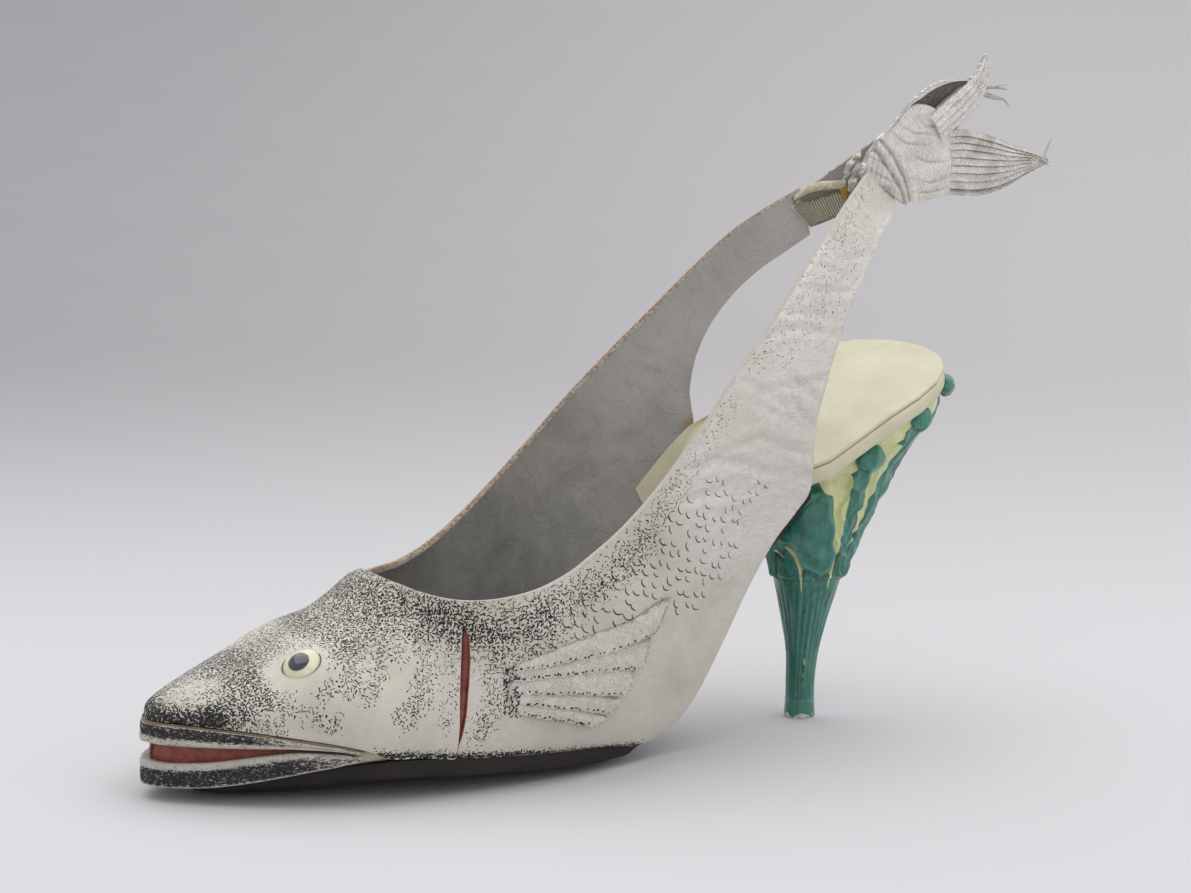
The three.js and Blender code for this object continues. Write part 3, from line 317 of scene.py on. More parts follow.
# Mesh building
class Maker:
    """Collects grids of points into one mesh."""

    def __init__(self):
        self.points, self.faces, self.mats, self.values, self.count = [], [], [], {}, 0

    def grid(self, points, mat=0, flip=False, loop=False, **values):
        rows, cols = points.shape[:2]
        index = np.arange(rows * cols).reshape(rows, cols) + self.count
        if loop:
            index = np.concatenate([index, index[:, :1]], 1)
        quads = np.stack([index[:-1, :-1], index[1:, :-1], index[1:, 1:], index[:-1, 1:]], -1).reshape(-1, 4)
        self.faces.append(quads[:, ::-1] if flip else quads)
        self.mats.append(np.full(len(quads), mat))
        self.points.append(points.reshape(-1, 3))
        for name in sorted(set(self.values) | set(values)):
            if name not in self.values:
                self.values[name] = [np.zeros(self.count)] if self.count else []
            given = values.get(name, 0.0)
            self.values[name].append(np.broadcast_to(given, (rows, cols)).reshape(-1).astype(float))
        self.count += rows * cols
        return self

    def fan(self, ring, mat=0, flip=False, **values):
        """Closes a ring with a fan round its middle."""
        middle = np.broadcast_to(ring.mean(0), ring.shape)
        return self.grid(np.stack([ring, middle]), mat, flip, loop=True, **values)

    def build(self, name, mats, merge=0.002, sharp=38, closed=True):
        """Welds the grids into one mesh. merge is in millimetres and sharp in degrees."""
        mesh = bpy.data.meshes.new(name)
        points = np.concatenate(self.points) * MM
        faces = np.concatenate(self.faces)
        mesh.from_pydata(points.tolist(), [], faces.tolist())
        mesh.polygons.foreach_set("material_index", np.concatenate(self.mats).astype(np.int32))
        for key, parts in self.values.items():
            layer = mesh.attributes.new(key, "FLOAT", "POINT")
            layer.data.foreach_set("value", np.concatenate(parts).astype(np.float32))
        for mat in mats:
            mesh.materials.append(mat)
        work = bmesh.new()
        work.from_mesh(mesh)
        bmesh.ops.remove_doubles(work, verts=work.verts, dist=merge * MM)
        if closed:
            bmesh.ops.recalc_face_normals(work, faces=work.faces)
        work.to_mesh(mesh)
        work.free()
        finish_mesh(mesh, sharp)
        item = bpy.data.objects.new(name, mesh)
        bpy.context.scene.collection.objects.link(item)
        return item


def finish_mesh(mesh, sharp):
    mesh.polygons.foreach_set("use_smooth", np.ones(len(mesh.polygons), bool))
    mesh.set_sharp_from_angle(angle=math.radians(sharp))
    mesh.update()


def dress(item, slot, *nodes):
    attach(item, "root")
    if nodes:
        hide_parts(*nodes)
    return item


def close_edges(made, near, far, mat=0, **values):
    """Joins the four edges of two grids of points."""
    for a, b in ((near[0], far[0]), (far[-1], near[-1]), (far[:, 0], near[:, 0]), (near[:, -1], far[:, -1])):
        made.grid(np.stack([a, b]), mat, **values)


def sheet_between(near, far, made=None, **values):
    """Closed sheet from two grids of points, added to a maker or in a new one."""
    made = made or Maker()
    made.grid(near, **values)
    made.grid(far, flip=True, **values)
    close_edges(made, near, far)
    return made


def ribbon(made, path, widths, way, thick, **values):
    """Adds a flat ribbon along a path; way is the direction across it."""
    path = np.asarray(path, float)
    way = np.broadcast_to(np.asarray(way, float), path.shape)
    run = unit(np.gradient(path, axis=0))
    across = unit(way - (way * run).sum(1)[:, None] * run)
    out = np.cross(run, across)
    half = np.asarray(widths)[:, None] / 2
    deep = np.minimum(thick / 2, half)
    ring = [path + across * half * a + out * deep * b
            for a, b in ((1, 0), (0.8, 1), (0, 1.2), (-0.8, 1), (-1, 0), (-0.8, -1), (0, -1.2), (0.8, -1))]
    rings = np.stack(ring, 1)
    made.grid(rings, loop=True, **values)
    made.fan(rings[0], **values)
    made.fan(rings[-1], flip=True, **values)


def lathe(made, profile, centre, out, sides=72, mat=0, **values):
    """Adds a turned shape. The profile's points are radius and height along out."""
    turn = np.array(Vector((0, 0, 1)).rotation_difference(Vector(out)).to_matrix())
    angle = around(sides)
    profile = np.array(profile, float)
    rings = np.stack([np.outer(profile[:, 0], np.cos(angle)), np.outer(profile[:, 0], np.sin(angle)),
                      np.repeat(profile[:, 1:2], sides, 1)], -1) @ turn.T + centre
    made.grid(rings, mat, loop=True, **values)
    return rings


def tube(path, size, away, sides, squeeze=1.0):
    """Rings round a path, upright and towards away."""
    ring = around(sides)
    return (path[:, None] + np.array([0, 0, 1.0]) * (np.sin(ring)[None] * size[:, None])[..., None]
            + away * (np.cos(ring)[None] * size[:, None] * squeeze)[..., None])


# Materials
# Dashes of ink: half length, half width, how uneven their lattice is, the density above which they
# get wider, and how much narrower they are on the strap
DASH_REACH, DASH_WIDTH, DASH_JITTER, HEAVY_INK, SMALLER_BY = 0.29, 0.155, 0.85, 0.52, 0.07


class Net:
    """A material with helpers for its nodes. Lengths in nodes are millimetres."""

    def __init__(self, name, **sockets):
        self.mat = bpy.data.materials.new(name)
        self.mat.use_nodes = True
        self.tree = self.mat.node_tree
        self.shader = self.tree.nodes["Principled BSDF"]
        for key, value in sockets.items():
            self.shader.inputs[key.replace("_", " ")].default_value = value
        coords = self.tree.nodes.new("ShaderNodeTexCoord")
        self.place = self.vector("SCALE", coords.outputs["Object"], scale=TO_MM)
        self.bumps = None

    def node(self, kind, **props):
        made = self.tree.nodes.new(kind)
        for key, value in props.items():
            setattr(made, key, value)
        return made

    def put(self, socket, value):
        if isinstance(value, bpy.types.NodeSocket):
            self.tree.links.new(value, socket)
        elif value is not None:
            socket.default_value = value

    def vector(self, operation, a, b=None, scale=None):
        made = self.node("ShaderNodeVectorMath", operation=operation)
        self.put(made.inputs[0], a)
        if b is not None:
            self.put(made.inputs[1], b)
        if scale is not None:
            self.put(made.inputs["Scale"], scale)
        return made.outputs["Value" if operation in ("DOT_PRODUCT", "LENGTH") else "Vector"]

    def math(self, operation, a, b=None, c=None, clamp=False):
        made = self.node("ShaderNodeMath", operation=operation, use_clamp=clamp)
        for socket, value in zip(made.inputs, (a, b, c)):
            self.put(socket, value)
        return made.outputs[0]

    def ramp(self, value, low, high, start=0.0, end=1.0):
        made = self.node("ShaderNodeMapRange", interpolation_type="SMOOTHSTEP")
        for key, given in (("Value", value), ("From Min", low), ("From Max", high),
                           ("To Min", start), ("To Max", end)):
            self.put(made.inputs[key], given)
        return made.outputs["Result"]

    def mix(self, share, a, b, mode="MIX"):
        made = self.node("ShaderNodeMix", data_type="RGBA", blend_type=mode)
        self.put(made.inputs["Factor"], share)
        for key, value in (("A", a), ("B", b)):
            socket = [s for s in made.inputs if s.name == key and s.type == "RGBA"][0]
            self.put(socket, (*value, 1) if isinstance(value, tuple) else value)
        return [s for s in made.outputs if s.type == "RGBA"][0]

    def tint(self, value, a, b, low=0.3, high=0.7):
        """Colour a where the value is low, and b where it is high."""
        return self.mix(self.ramp(value, low, high), a, b)

    def noise(self, scale, detail=2.0, rough=0.5, bend=0.0, place=None, output="Fac"):
        made = self.node("ShaderNodeTexNoise")
        self.put(made.inputs["Vector"], place or self.place)
        for key, value in (("Scale", scale), ("Detail", detail), ("Roughness", rough), ("Distortion", bend)):
            self.put(made.inputs[key], value)
        return made.outputs[output]

    def cells(self, place, scale, jitter=1.0, feature="F1"):
        made = self.node("ShaderNodeTexVoronoi", feature=feature)
        for key, value in (("Vector", place), ("Scale", scale), ("Randomness", jitter)):
            self.put(made.inputs[key], value)
        return made.outputs

    def stretch(self, x, y, z, shift=0.0):
        made = self.node("ShaderNodeMapping")
        self.put(made.inputs["Vector"], self.place)
        made.inputs["Scale"].default_value = (x, y, z)
        made.inputs["Location"].default_value = (shift, shift * 0.7, -shift)
        return made.outputs[0]

    def value(self, name):
        return self.node("ShaderNodeAttribute", attribute_name=name).outputs["Fac"]

    def bump(self, height, depth):
        made = self.node("ShaderNodeBump")
        self.put(made.inputs["Height"], height)
        made.inputs["Distance"].default_value = depth * MM
        if self.bumps is not None:
            self.put(made.inputs["Normal"], self.bumps)
        self.bumps = made.outputs[0]

    def set(self, **sockets):
        for key, value in sockets.items():
            self.put(self.shader.inputs[key.replace("_", " ")], value)

    def done(self):
        if self.bumps is not None:
            self.put(self.shader.inputs["Normal"], self.bumps)
        return self.mat

    def dashes(self, density, small, scale, seed):
        """Ink dashes, one for each cell of a lattice, laid along the surface."""
        half = (0.5, 0.5, 0.5)
        sway = self.vector("SUBTRACT", self.noise(0.9, 0.0, output="Color"), half)
        place = self.vector("ADD", self.place, self.vector("SCALE", sway, scale=0.9))
        place = self.vector("ADD", place, (seed * 7.3, seed * -3.1, seed * 5.7))
        place = self.vector("SCALE", place, scale=scale)
        cell = self.cells(place, 1.0, DASH_JITTER)
        shape = self.node("ShaderNodeNewGeometry").outputs["Normal"]
        away = self.flatten(self.vector("SUBTRACT", place, cell["Position"]), shape)
        way = self.vector("SUBTRACT", cell["Color"], half)
        way = self.vector("NORMALIZE", self.flatten(way, shape))
        along = self.vector("DOT_PRODUCT", away, way)
        held = self.math("MINIMUM", self.math("MAXIMUM", along, -DASH_REACH), DASH_REACH)
        gap = self.vector("LENGTH", self.vector("SUBTRACT", away, self.vector("SCALE", way, scale=held)))
        heavy = self.math("MAXIMUM", self.math("SUBTRACT", density, HEAVY_INK), 0)
        wide = self.math("MULTIPLY_ADD", heavy, 0.50, DASH_WIDTH)
        wide = self.math("SUBTRACT", wide, self.math("MULTIPLY", small, SMALLER_BY))
        ink = self.math("DIVIDE", self.math("SUBTRACT", wide, gap), 0.05, clamp=True)
        pick = self.node("ShaderNodeSeparateColor")
        self.put(pick.inputs[0], cell["Color"])
        chance = self.math("ADD", self.math("MULTIPLY", pick.outputs[1], 0.6),
                           self.math("MULTIPLY", pick.outputs[2], 0.4))
        chance = self.ramp(chance, 0.12, 0.88)
        shown = self.math("LESS_THAN", chance, self.math("MULTIPLY", density, 1.5))
        return self.math("MULTIPLY", ink, shown)

    def flatten(self, way, shape):
        rise = self.vector("DOT_PRODUCT", way, shape)
        return self.vector("SUBTRACT", way, self.vector("SCALE", shape, scale=rise))

    def ink(self, density, small):
        """Two layers of dashes together."""
        return self.math("MAXIMUM", self.dashes(density, small, 0.94, 1),
                         self.dashes(density, small, 1.10, 2))


INK = (0.007, 0.007, 0.008)


def grain(net, depth=0.05, scale=1.0):
    """Pores and fine wrinkles of leather."""
    pores = net.cells(net.place, 2.3 * scale, feature="SMOOTH_F1")["Distance"]
    fine = net.noise(3.4 * scale, 3, 0.6, 0.5)
    net.bump(net.math("MULTIPLY_ADD", fine, 0.7, pores), depth)


def wrinkle(net, depth, scale, long=(1.0, 1.0, 1.0), share=None, bend=1.2):
    """Thin creases: the valleys where a noise crosses its middle."""
    at = net.stretch(*long, shift=scale * 31)
    lines = net.math("ABSOLUTE", net.math("SUBTRACT", net.noise(scale, 2, 0.55, bend, at), 0.5))
    cut = net.ramp(lines, 0.0, 0.045)
    if share is not None:
        cut = net.math("SUBTRACT", 1, net.math("MULTIPLY", net.math("SUBTRACT", 1, cut), share))
    net.bump(cut, depth)
    return cut


def make_skin():
    net = Net("skin_leather", Coat_Weight=0.05, Coat_Roughness=0.40, Specular_IOR_Level=0.30)
    pearl, density, dirt = net.value("pearl"), net.value("ink"), net.value("dirt")
    cloud = net.noise(0.06, 3, 0.55)
    base = net.tint(cloud, (0.525, 0.50, 0.42), (0.615, 0.59, 0.505))
    base = net.mix(net.math("MULTIPLY", pearl, 0.8), base, (0.80, 0.782, 0.735))
    mottle = net.noise(0.5, 4, 0.65)
    base = net.mix(net.ramp(mottle, 0.35, 0.75, 0, 0.16), base, (0.36, 0.345, 0.31))
    lines = wrinkle(net, 0.055, 0.11, (0.8, 0.8, 2.0), share=pearl, bend=0.6)
    cracks = net.math("MULTIPLY", net.math("SUBTRACT", 1, lines), net.math("MULTIPLY", pearl, 0.12))
    base = net.mix(cracks, base, (0.22, 0.20, 0.18))
    patch = net.ramp(net.math("ADD", net.noise(0.45, 4, 0.7), dirt), 0.85, 1.25, 0, 0.6)
    base = net.mix(patch, base, (0.16, 0.145, 0.12))
    ink = net.math("MULTIPLY", net.ink(density, pearl), 0.985)
    wash = net.math("MULTIPLY", net.ramp(density, 0.78, 1.0), 0.5)
    base = net.mix(wash, base, (0.06, 0.058, 0.055))
    net.set(Base_Color=net.mix(ink, base, INK), Metallic=net.math("MULTIPLY", pearl, 0.30))
    rough = net.ramp(net.noise(0.8, 3, 0.6), 0.3, 0.7, 0.46, 0.62)
    net.set(Roughness=net.math("SUBTRACT", rough, net.math("MULTIPLY", pearl, 0.08)))
    wrinkle(net, 0.05, 0.6, (0.8, 0.8, 1.8), share=net.math("MULTIPLY_ADD", pearl, 0.7, 0.12))
    net.bump(net.noise(0.55, 3, 0.6, 0.4), 0.16)
    grain(net, 0.09)
    return net.done()


def make_lining():
    net = Net("lining_leather", Specular_IOR_Level=0.35, Sheen_Weight=0.12, Sheen_Roughness=0.5)
    cloud = net.noise(0.05, 4, 0.6, 0.6)
    base = net.tint(cloud, (0.255, 0.25, 0.235), (0.36, 0.35, 0.33))
    streak = net.noise(0.22, 4, 0.65, 1.0, net.stretch(1, 1, 0.3))
    base = net.mix(net.ramp(streak, 0.45, 0.8, 0, 0.30), base, (0.44, 0.43, 0.41))
    # Painted light: the lining is paler high on the inner side and a little paler on the outer side.
    base = net.mix(net.value("light"), base, (0.60, 0.585, 0.55))
    base = net.mix(net.value("stain"), base, (0.22, 0.13, 0.06))
    lines = wrinkle(net, 0.05, 0.13, (1, 1, 0.5), bend=0.5)
    base = net.mix(net.math("MULTIPLY", net.math("SUBTRACT", 1, lines), 0.07), base, (0.12, 0.115, 0.11))
    net.bump(net.noise(0.16, 4, 0.6, 0.5, net.stretch(1, 1, 0.5)), 0.5)
    net.set(Base_Color=base, Roughness=net.ramp(cloud, 0.3, 0.7, 0.5, 0.68))
    wrinkle(net, 0.04, 0.45, bend=0.8)
    grain(net, 0.03, 0.8)
    return net.done()


def make_rim():
    net = Net("cut_edge", Specular_IOR_Level=0.3)
    raw = net.value("raw")
    fray = net.noise(1.3, 4, 0.7)
    tan = net.tint(fray, (0.16, 0.10, 0.065), (0.50, 0.40, 0.31), 0.35, 0.7)
    clean = net.tint(fray, (0.60, 0.58, 0.53), (0.42, 0.40, 0.36), 0.3, 0.8)
    net.set(Base_Color=net.mix(raw, clean, tan), Roughness=0.62)
    net.bump(fray, 0.12)
    net.bump(net.noise(4, 3, 0.7), 0.05)
    return net.done()


def make_red():
    net = Net("red_leather", Coat_Weight=0.1, Coat_Roughness=0.35)
    cloud = net.noise(0.35, 4, 0.6)
    base = net.tint(cloud, (0.19, 0.034, 0.024), (0.31, 0.075, 0.05))
    net.set(Base_Color=base, Roughness=net.ramp(cloud, 0.3, 0.7, 0.42, 0.6))
    wrinkle(net, 0.08, 0.5)
    grain(net, 0.05)
    return net.done()


# Painted shade: near-black for the floor of the eye openings and the bottom of the gill slit.
def make_painted_shade():
    net = Net("painted_shade_dark")
    net.set(Base_Color=net.mix(net.noise(0.8), (0.02, 0.018, 0.016), (0.05, 0.045, 0.04)), Roughness=0.8)
    net.bump(net.noise(2.0, 3), 0.05)
    return net.done()


RED = make_red()
UPPER_MATS = [make_skin(), make_lining(), make_rim(), RED, make_painted_shade()]
SKIN_MAT, LINING_MAT, RIM_MAT, RED_MAT, SHADE_MAT = range(5)

# Painted dashes: lines of (length, height), radius and density
MASSES = [
    ([(-70.0, 21.0), (-64.5, 21.0), (-59.2, 21.4)], 3.6, 0.93),
    ([(-64.0, 22.4), (-55.5, 23.6), (-49.5, 27.0)], 5.4, 0.80),
    ([(-54, 32), (-40, 37), (-30, 40)], 4.6, 0.62),
    ([(-46, 36), (-36, 41), (-28, 45)], 4.0, 0.60),
    ([(-27.7, 39.8), (-19.1, 44.1), (-13.7, 49.2)], 5.2, 0.64),
    ([(-45.3, 30.9), (-35.6, 38.3), (-29.2, 38.2)], 3.0, 0.58),
    ([(-24, 38.9), (-13.4, 40.6), (-2.9, 41.7)], 5.6, 0.76),
    ([(-14.9, 45.7), (-11.1, 44.8), (-4.2, 44.9)], 4.2, 0.70),
    ([(-53, 28.1), (-47.5, 29.8)], 4.6, 0.68),
    ([(-57.5, 20.5), (-48.3, 18.5)], 3.4, 0.62),
    ([(-47.6, 25.3), (-42.9, 23.3), (-35.2, 20.8)], 2.2, 0.52),
    ([(-33.3, 30.3), (-33.9, 28.8), (-36.9, 26.4)], 1.3, 0.62),
    ([(-25.8, 35.8), (-28.1, 32.2), (-31.1, 28.3)], 1.8, 0.62),
    ([(-19.3, 35.3), (-21.8, 30.7), (-27.4, 26.4)], 1.7, 0.58),
    ([(-10, 37.1), (-9.6, 30.3), (-12.6, 25.8), (-18.9, 20.6)], 2.5, 0.66),
    ([(-2.9, 37.7), (-4.2, 28.5), (-7.8, 18.4)], 1.8, 0.50),
    ([(0.6, 37.9), (8.7, 36.4), (17.3, 38.2)], 4.6, 0.74),
    ([(4, 30.7), (5, 25.8), (3.7, 19.8), (0.5, 14.9)], 2.3, 0.60),
    # This row, the next and the row from (32.0, 6.0) make the skin near black along its lower edge.
    ([(-24.4, 11.9), (-14.4, 10.9), (-5.5, 9.9)], 1.7, 0.95),
    ([(-4, 9.8), (12.7, 8.1), (23.6, 6.6), (32, 6.0)], 1.7, 0.95),
    ([(-5.2, 40.8), (4.5, 41.5), (16.2, 43.4)], 5.0, 0.78),
    ([(16.3, 45.2), (26.5, 48.6), (37.1, 52.6), (43.9, 59.2)], 3.9, 0.76),
    ([(21.2, 40.6), (26.5, 44.4), (31.8, 47.5)], 3.0, 0.38),
    ([(47.3, 63.8), (51.5, 68.8), (55.4, 73.3)], 2.8, 0.42),
    ([(56.5, 75), (60.9, 80.6), (64.6, 85.7), (67.6, 89.6)], 2.8, 0.26),
    ([(5.7, 33.1), (8.6, 29.3), (9.4, 21.2)], 2.3, 0.60),
    ([(3.8, 24.1), (0.5, 15.9)], 2.0, 0.50),
    ([(32.0, 6.0), (42, 5.2), (49, 4.4)], 1.6, 0.93),
    ([(80.3, 105.1), (90.3, 114.8), (98.7, 122.7)], 3.0, 0.13),
    ([(100.2, 122.5), (107.9, 129.2), (116.3, 134.4)], 3.6, 0.20),
    ([(90.3, 107.6), (100.2, 112.6), (112, 124)], 5.0, 0.09),
    ([(75, 100.5), (82.2, 101.3), (83.6, 98.7)], 2.4, 0.15),
]
EYE_TILT = 0.30
EYES = {OUTER: find_skin(OUTER, -37.4, EYE_Z * SEAT_HEIGHT, 6.0, 0.6),
        INNER: find_skin(INNER, -36.7, INNER_EYE_Z * SEAT_HEIGHT, 6.0, 0.5)}


def eye_frame(side):
    """Centre of an eye and the way it looks, a little lower than the skin does."""
    centre, out = skin_frame(side, *EYES[side])
    return centre, unit(out - np.array([0, 0, EYE_TILT]))


def ink_at(points):
    """Density of the painted dashes at points of the skin, by length and height."""
    flat = points[..., [0, 2]]
    clear, deep = np.ones(points.shape[:-1]), np.zeros(points.shape[:-1])
    for path, radius, dense in MASSES:
        far, _ = path_distance(flat, path)
        cover = dense * (1 - smooth(far, radius * 0.35, radius * 1.6))
        clear *= 1 - cover
        deep = np.maximum(deep, cover * (dense > 0.85))
    density = np.maximum(0.70 * (1 - clear), 0.98 * deep)
    for side in (OUTER, INNER):
        eye = skin_outer(side, *EYES[side])
        away = np.linalg.norm(points - eye, axis=-1)
        low = smooth(eye[0] + 2.5 - points[..., 0], -6, 2) * smooth(eye[2] + 1 - points[..., 2], -2, 3)
        density *= smooth(away, 5.6 + 2.4 * low, 7.4 + 3.6 * low)
    ridge = smooth(points[..., 2], 18, 30) * smooth(-points[..., 0], 8, 20)
    top = ridge * (1 - smooth(np.abs(points[..., 1] - 1), 4, 11))
    # Painted highlight: fewer dashes on the top of the snout, for its glossy highlight.
    painted_highlight = 1 - smooth(np.linalg.norm(points - np.array([-62.0, -4, 27.5]), axis=-1), 4, 10)
    return np.clip(np.maximum(density, 0.46 * top) - 0.40 * painted_highlight, 0, 1)


# Lines of (length, height), depth and width of the creases of the skin and of the lining
CREASES = [
    ([(51.7, 74.3), (62.3, 76.2), (70.1, 75.4), (83, 70.5), (94.9, 68.3)], 0.42, 1.2),
    ([(62.3, 76.2), (66, 77.9), (77.8, 80.3), (87.8, 76.3), (95.5, 73.1)], 0.34, 1.0),
    ([(53.7, 67.3), (62.8, 68.6), (72.4, 69.6), (80.6, 70.3)], 0.30, 1.2),
    ([(56.7, 67.6), (71.1, 67.2), (89.1, 67), (95.6, 68.2)], 0.26, 1.1),
    ([(65.2, 61.8), (72, 61.9), (76.8, 63.7)], 0.26, 0.9),
    ([(75, 90), (81.4, 86.1), (87.2, 83.4), (93.9, 79.3)], 0.34, 1.1),
    ([(87.8, 88.3), (90.4, 84.8), (95.4, 80.4)], 0.26, 0.9),
    ([(67.3, 43.2), (76.3, 42.4)], 0.20, 0.8),
    ([(47, 70.2), (53.6, 71.6), (59.5, 73.4)], 0.20, 0.8),
    ([(72.9, 94.5), (80.5, 90.5), (88.8, 85), (95.9, 80.6)], 0.30, 1.2),
    ([(86.8, 94.7), (91.7, 90.9), (96.7, 86.5)], 0.26, 0.9),
    ([(77.3, 92.2), (88.5, 91.9), (99.3, 92.3)], 0.24, 1.0),
    ([(78.4, 103.7), (84, 105.9), (90.2, 105.8), (101.7, 102.5)], 0.24, 0.9),
    ([(90.4, 115.4), (97.3, 114), (105.8, 112.3), (109.5, 112.9)], 0.22, 0.8),
    ([(98.1, 119.9), (104.6, 117.2), (109.7, 114.1)], 0.20, 0.8),
    ([(86.7, 109.8), (93.6, 109), (103.5, 105.3)], 0.20, 0.8),
    ([(105, 120.2), (114.5, 119.9), (115.3, 117.6)], 0.18, 0.8),
]
LINING_CREASES = [
    ([(60.5, 65.3), (65.4, 67.0), (70.3, 68.2), (78.1, 69.2), (85.1, 69.5)], 0.55, 2.0),
    ([(71.4, 68.1), (78.5, 72.8), (81.8, 74.5)], 0.4, 1.6),
    ([(46.5, 47.5), (49.4, 52.9), (53.5, 56.4), (59.9, 58.6)], 0.6, 2.2),
    ([(33.7, 34.6), (35.6, 40.8), (41.8, 44.1)], 0.55, 2.0),
    ([(46.1, 40.1), (50.3, 47.3), (55.7, 53.2)], 0.45, 1.8),
    ([(20.6, 48.2), (22.0, 44.0), (23.4, 38.5)], 0.4, 1.6),
    ([(90.2, 111.9), (96.2, 109.1), (99.0, 105.3)], 0.3, 1.0),
    ([(96.2, 107.8), (97.5, 103.3)], 0.25, 0.9),
    ([(103.2, 109.3), (101.6, 106.8), (99.0, 104.0)], 0.25, 0.9),
    ([(73.0, 87.1), (79.1, 84.4), (87.7, 83.3)], 0.4, 1.4),
    ([(71.6, 92.3), (78.1, 90.1), (87.7, 85.2)], 0.35, 1.3),
    ([(82.4, 79.4), (86.7, 79.6), (88.3, 82.0)], 0.35, 1.3),
    ([(71.0, 74.8), (77.9, 72.3), (86.1, 71.3)], 0.45, 1.5),
]


def crease_depth(points, creases):
    flat = points[..., [0, 2]]
    depth = np.zeros(points.shape[:-1])
    for path, deep, wide in creases:
        far, share = path_distance(flat, path)
        ends = np.sin(np.pi * np.clip(share, 0.06, 0.94)) ** 0.4
        depth += ends * deep * (hump(far, 0, wide) - 0.45 * hump(far, wide * 2.0, wide * 1.2))
    return depth


# Gill slit: the line of its front edge, its ends, its place among the columns and its width
SLIT_ROW = np.array([10.10, 10.19, 10.29, 10.55, 10.83, 11.15, 11.52, 11.76, 11.86, 12.4, 13.2])
SLIT_T = np.array([0.0, 0.081, 0.154, 0.302, 0.435, 0.566, 0.709, 0.791, 0.827, 0.91, 1.0])
SLIT_TOP, SLIT_LOW, SLIT_COLUMN, SLIT_WIDTH = 0.822, 0.115, 11.0, 1.55
# Length of one row of the tables near the slit, and the spacing of the upper's columns
ROW_LENGTH, COLUMN_STEP = 7.4, 0.86


def slit_row(t):
    return np.interp(t, SLIT_T, SLIT_ROW)


def slit_width(t):
    share = (SLIT_TOP - t) / (SLIT_TOP - SLIT_LOW)
    return SLIT_WIDTH * np.interp(share, [0, 0.1, 0.3, 0.5, 0.72, 0.86, 0.95, 1],
                                  [0, 0.7, 1, 1, 0.85, 0.5, 0.25, 0])


def warp(column, t):
    """Bends the columns near the slit to its line."""
    away = np.clip((column - SLIT_COLUMN) / 5, -1, 1)
    return column + (slit_row(t) - SLIT_COLUMN) * (1 - away ** 2) ** 2


def upper_columns():
    """Columns at even lengths along the skin, with the slit's own columns between two groups."""
    fine = np.linspace(0, LAST_ROW, 1500)
    run = run_lengths(skin_outer(OUTER, fine, 0.5))
    even = np.interp(np.arange(0, run[-1], COLUMN_STEP), run, fine)
    front = np.append(even[even < SLIT_COLUMN - 0.05], SLIT_COLUMN)
    rear = np.append(even[(even > SLIT_COLUMN + 0.42) & (even < LAST_ROW - 0.06)], LAST_ROW)
    return front, rear


def side_columns(steps):
    """Rows, depths under the skin and materials of the columns, at each step up the side."""
    front, rear = upper_columns()
    open_share = np.clip((SLIT_TOP - steps) / 0.12, 0, 1)
    raised, flat = 0.5 * open_share, np.zeros(len(steps))
    lip, wide = slit_row(steps), slit_width(steps) / ROW_LENGTH
    well = 1.45 * open_share * (wide > 0)
    columns = [(warp(s, steps), -raised * max(0.0, 1 - (SLIT_COLUMN - s) / 1.5) ** 2, SKIN_MAT)
               for s in front[:-1]]
    columns += [(lip, -raised, SKIN_MAT),
                (lip + 0.012 * open_share, -raised * 0.9, RIM_MAT),
                (lip + 0.020 * open_share, 0.35 * open_share, RIM_MAT),
                # Painted shade: a near-black strip at the bottom of the slit.
                (lip + 0.024 * open_share, well, SHADE_MAT),
                (lip + 0.024 * open_share + wide, well, SHADE_MAT),
                (lip + 0.030 * open_share + wide, 0.12 * open_share, RED_MAT),
                (lip + 0.060 * open_share + wide, flat, SKIN_MAT)]
    columns += [(warp(s, steps), flat, SKIN_MAT) for s in rear]
    rows, depth, tags = zip(*columns)
    return np.array(rows), np.array(depth), tags


# How raw the cut edge is, by side and by the column of the grid it follows: 0 below, -1 at the top
RAW_EDGES = {(OUTER, 0): 0.12, (OUTER, -1): 0.05, (INNER, 0): 0.25, (INNER, -1): 1.0}


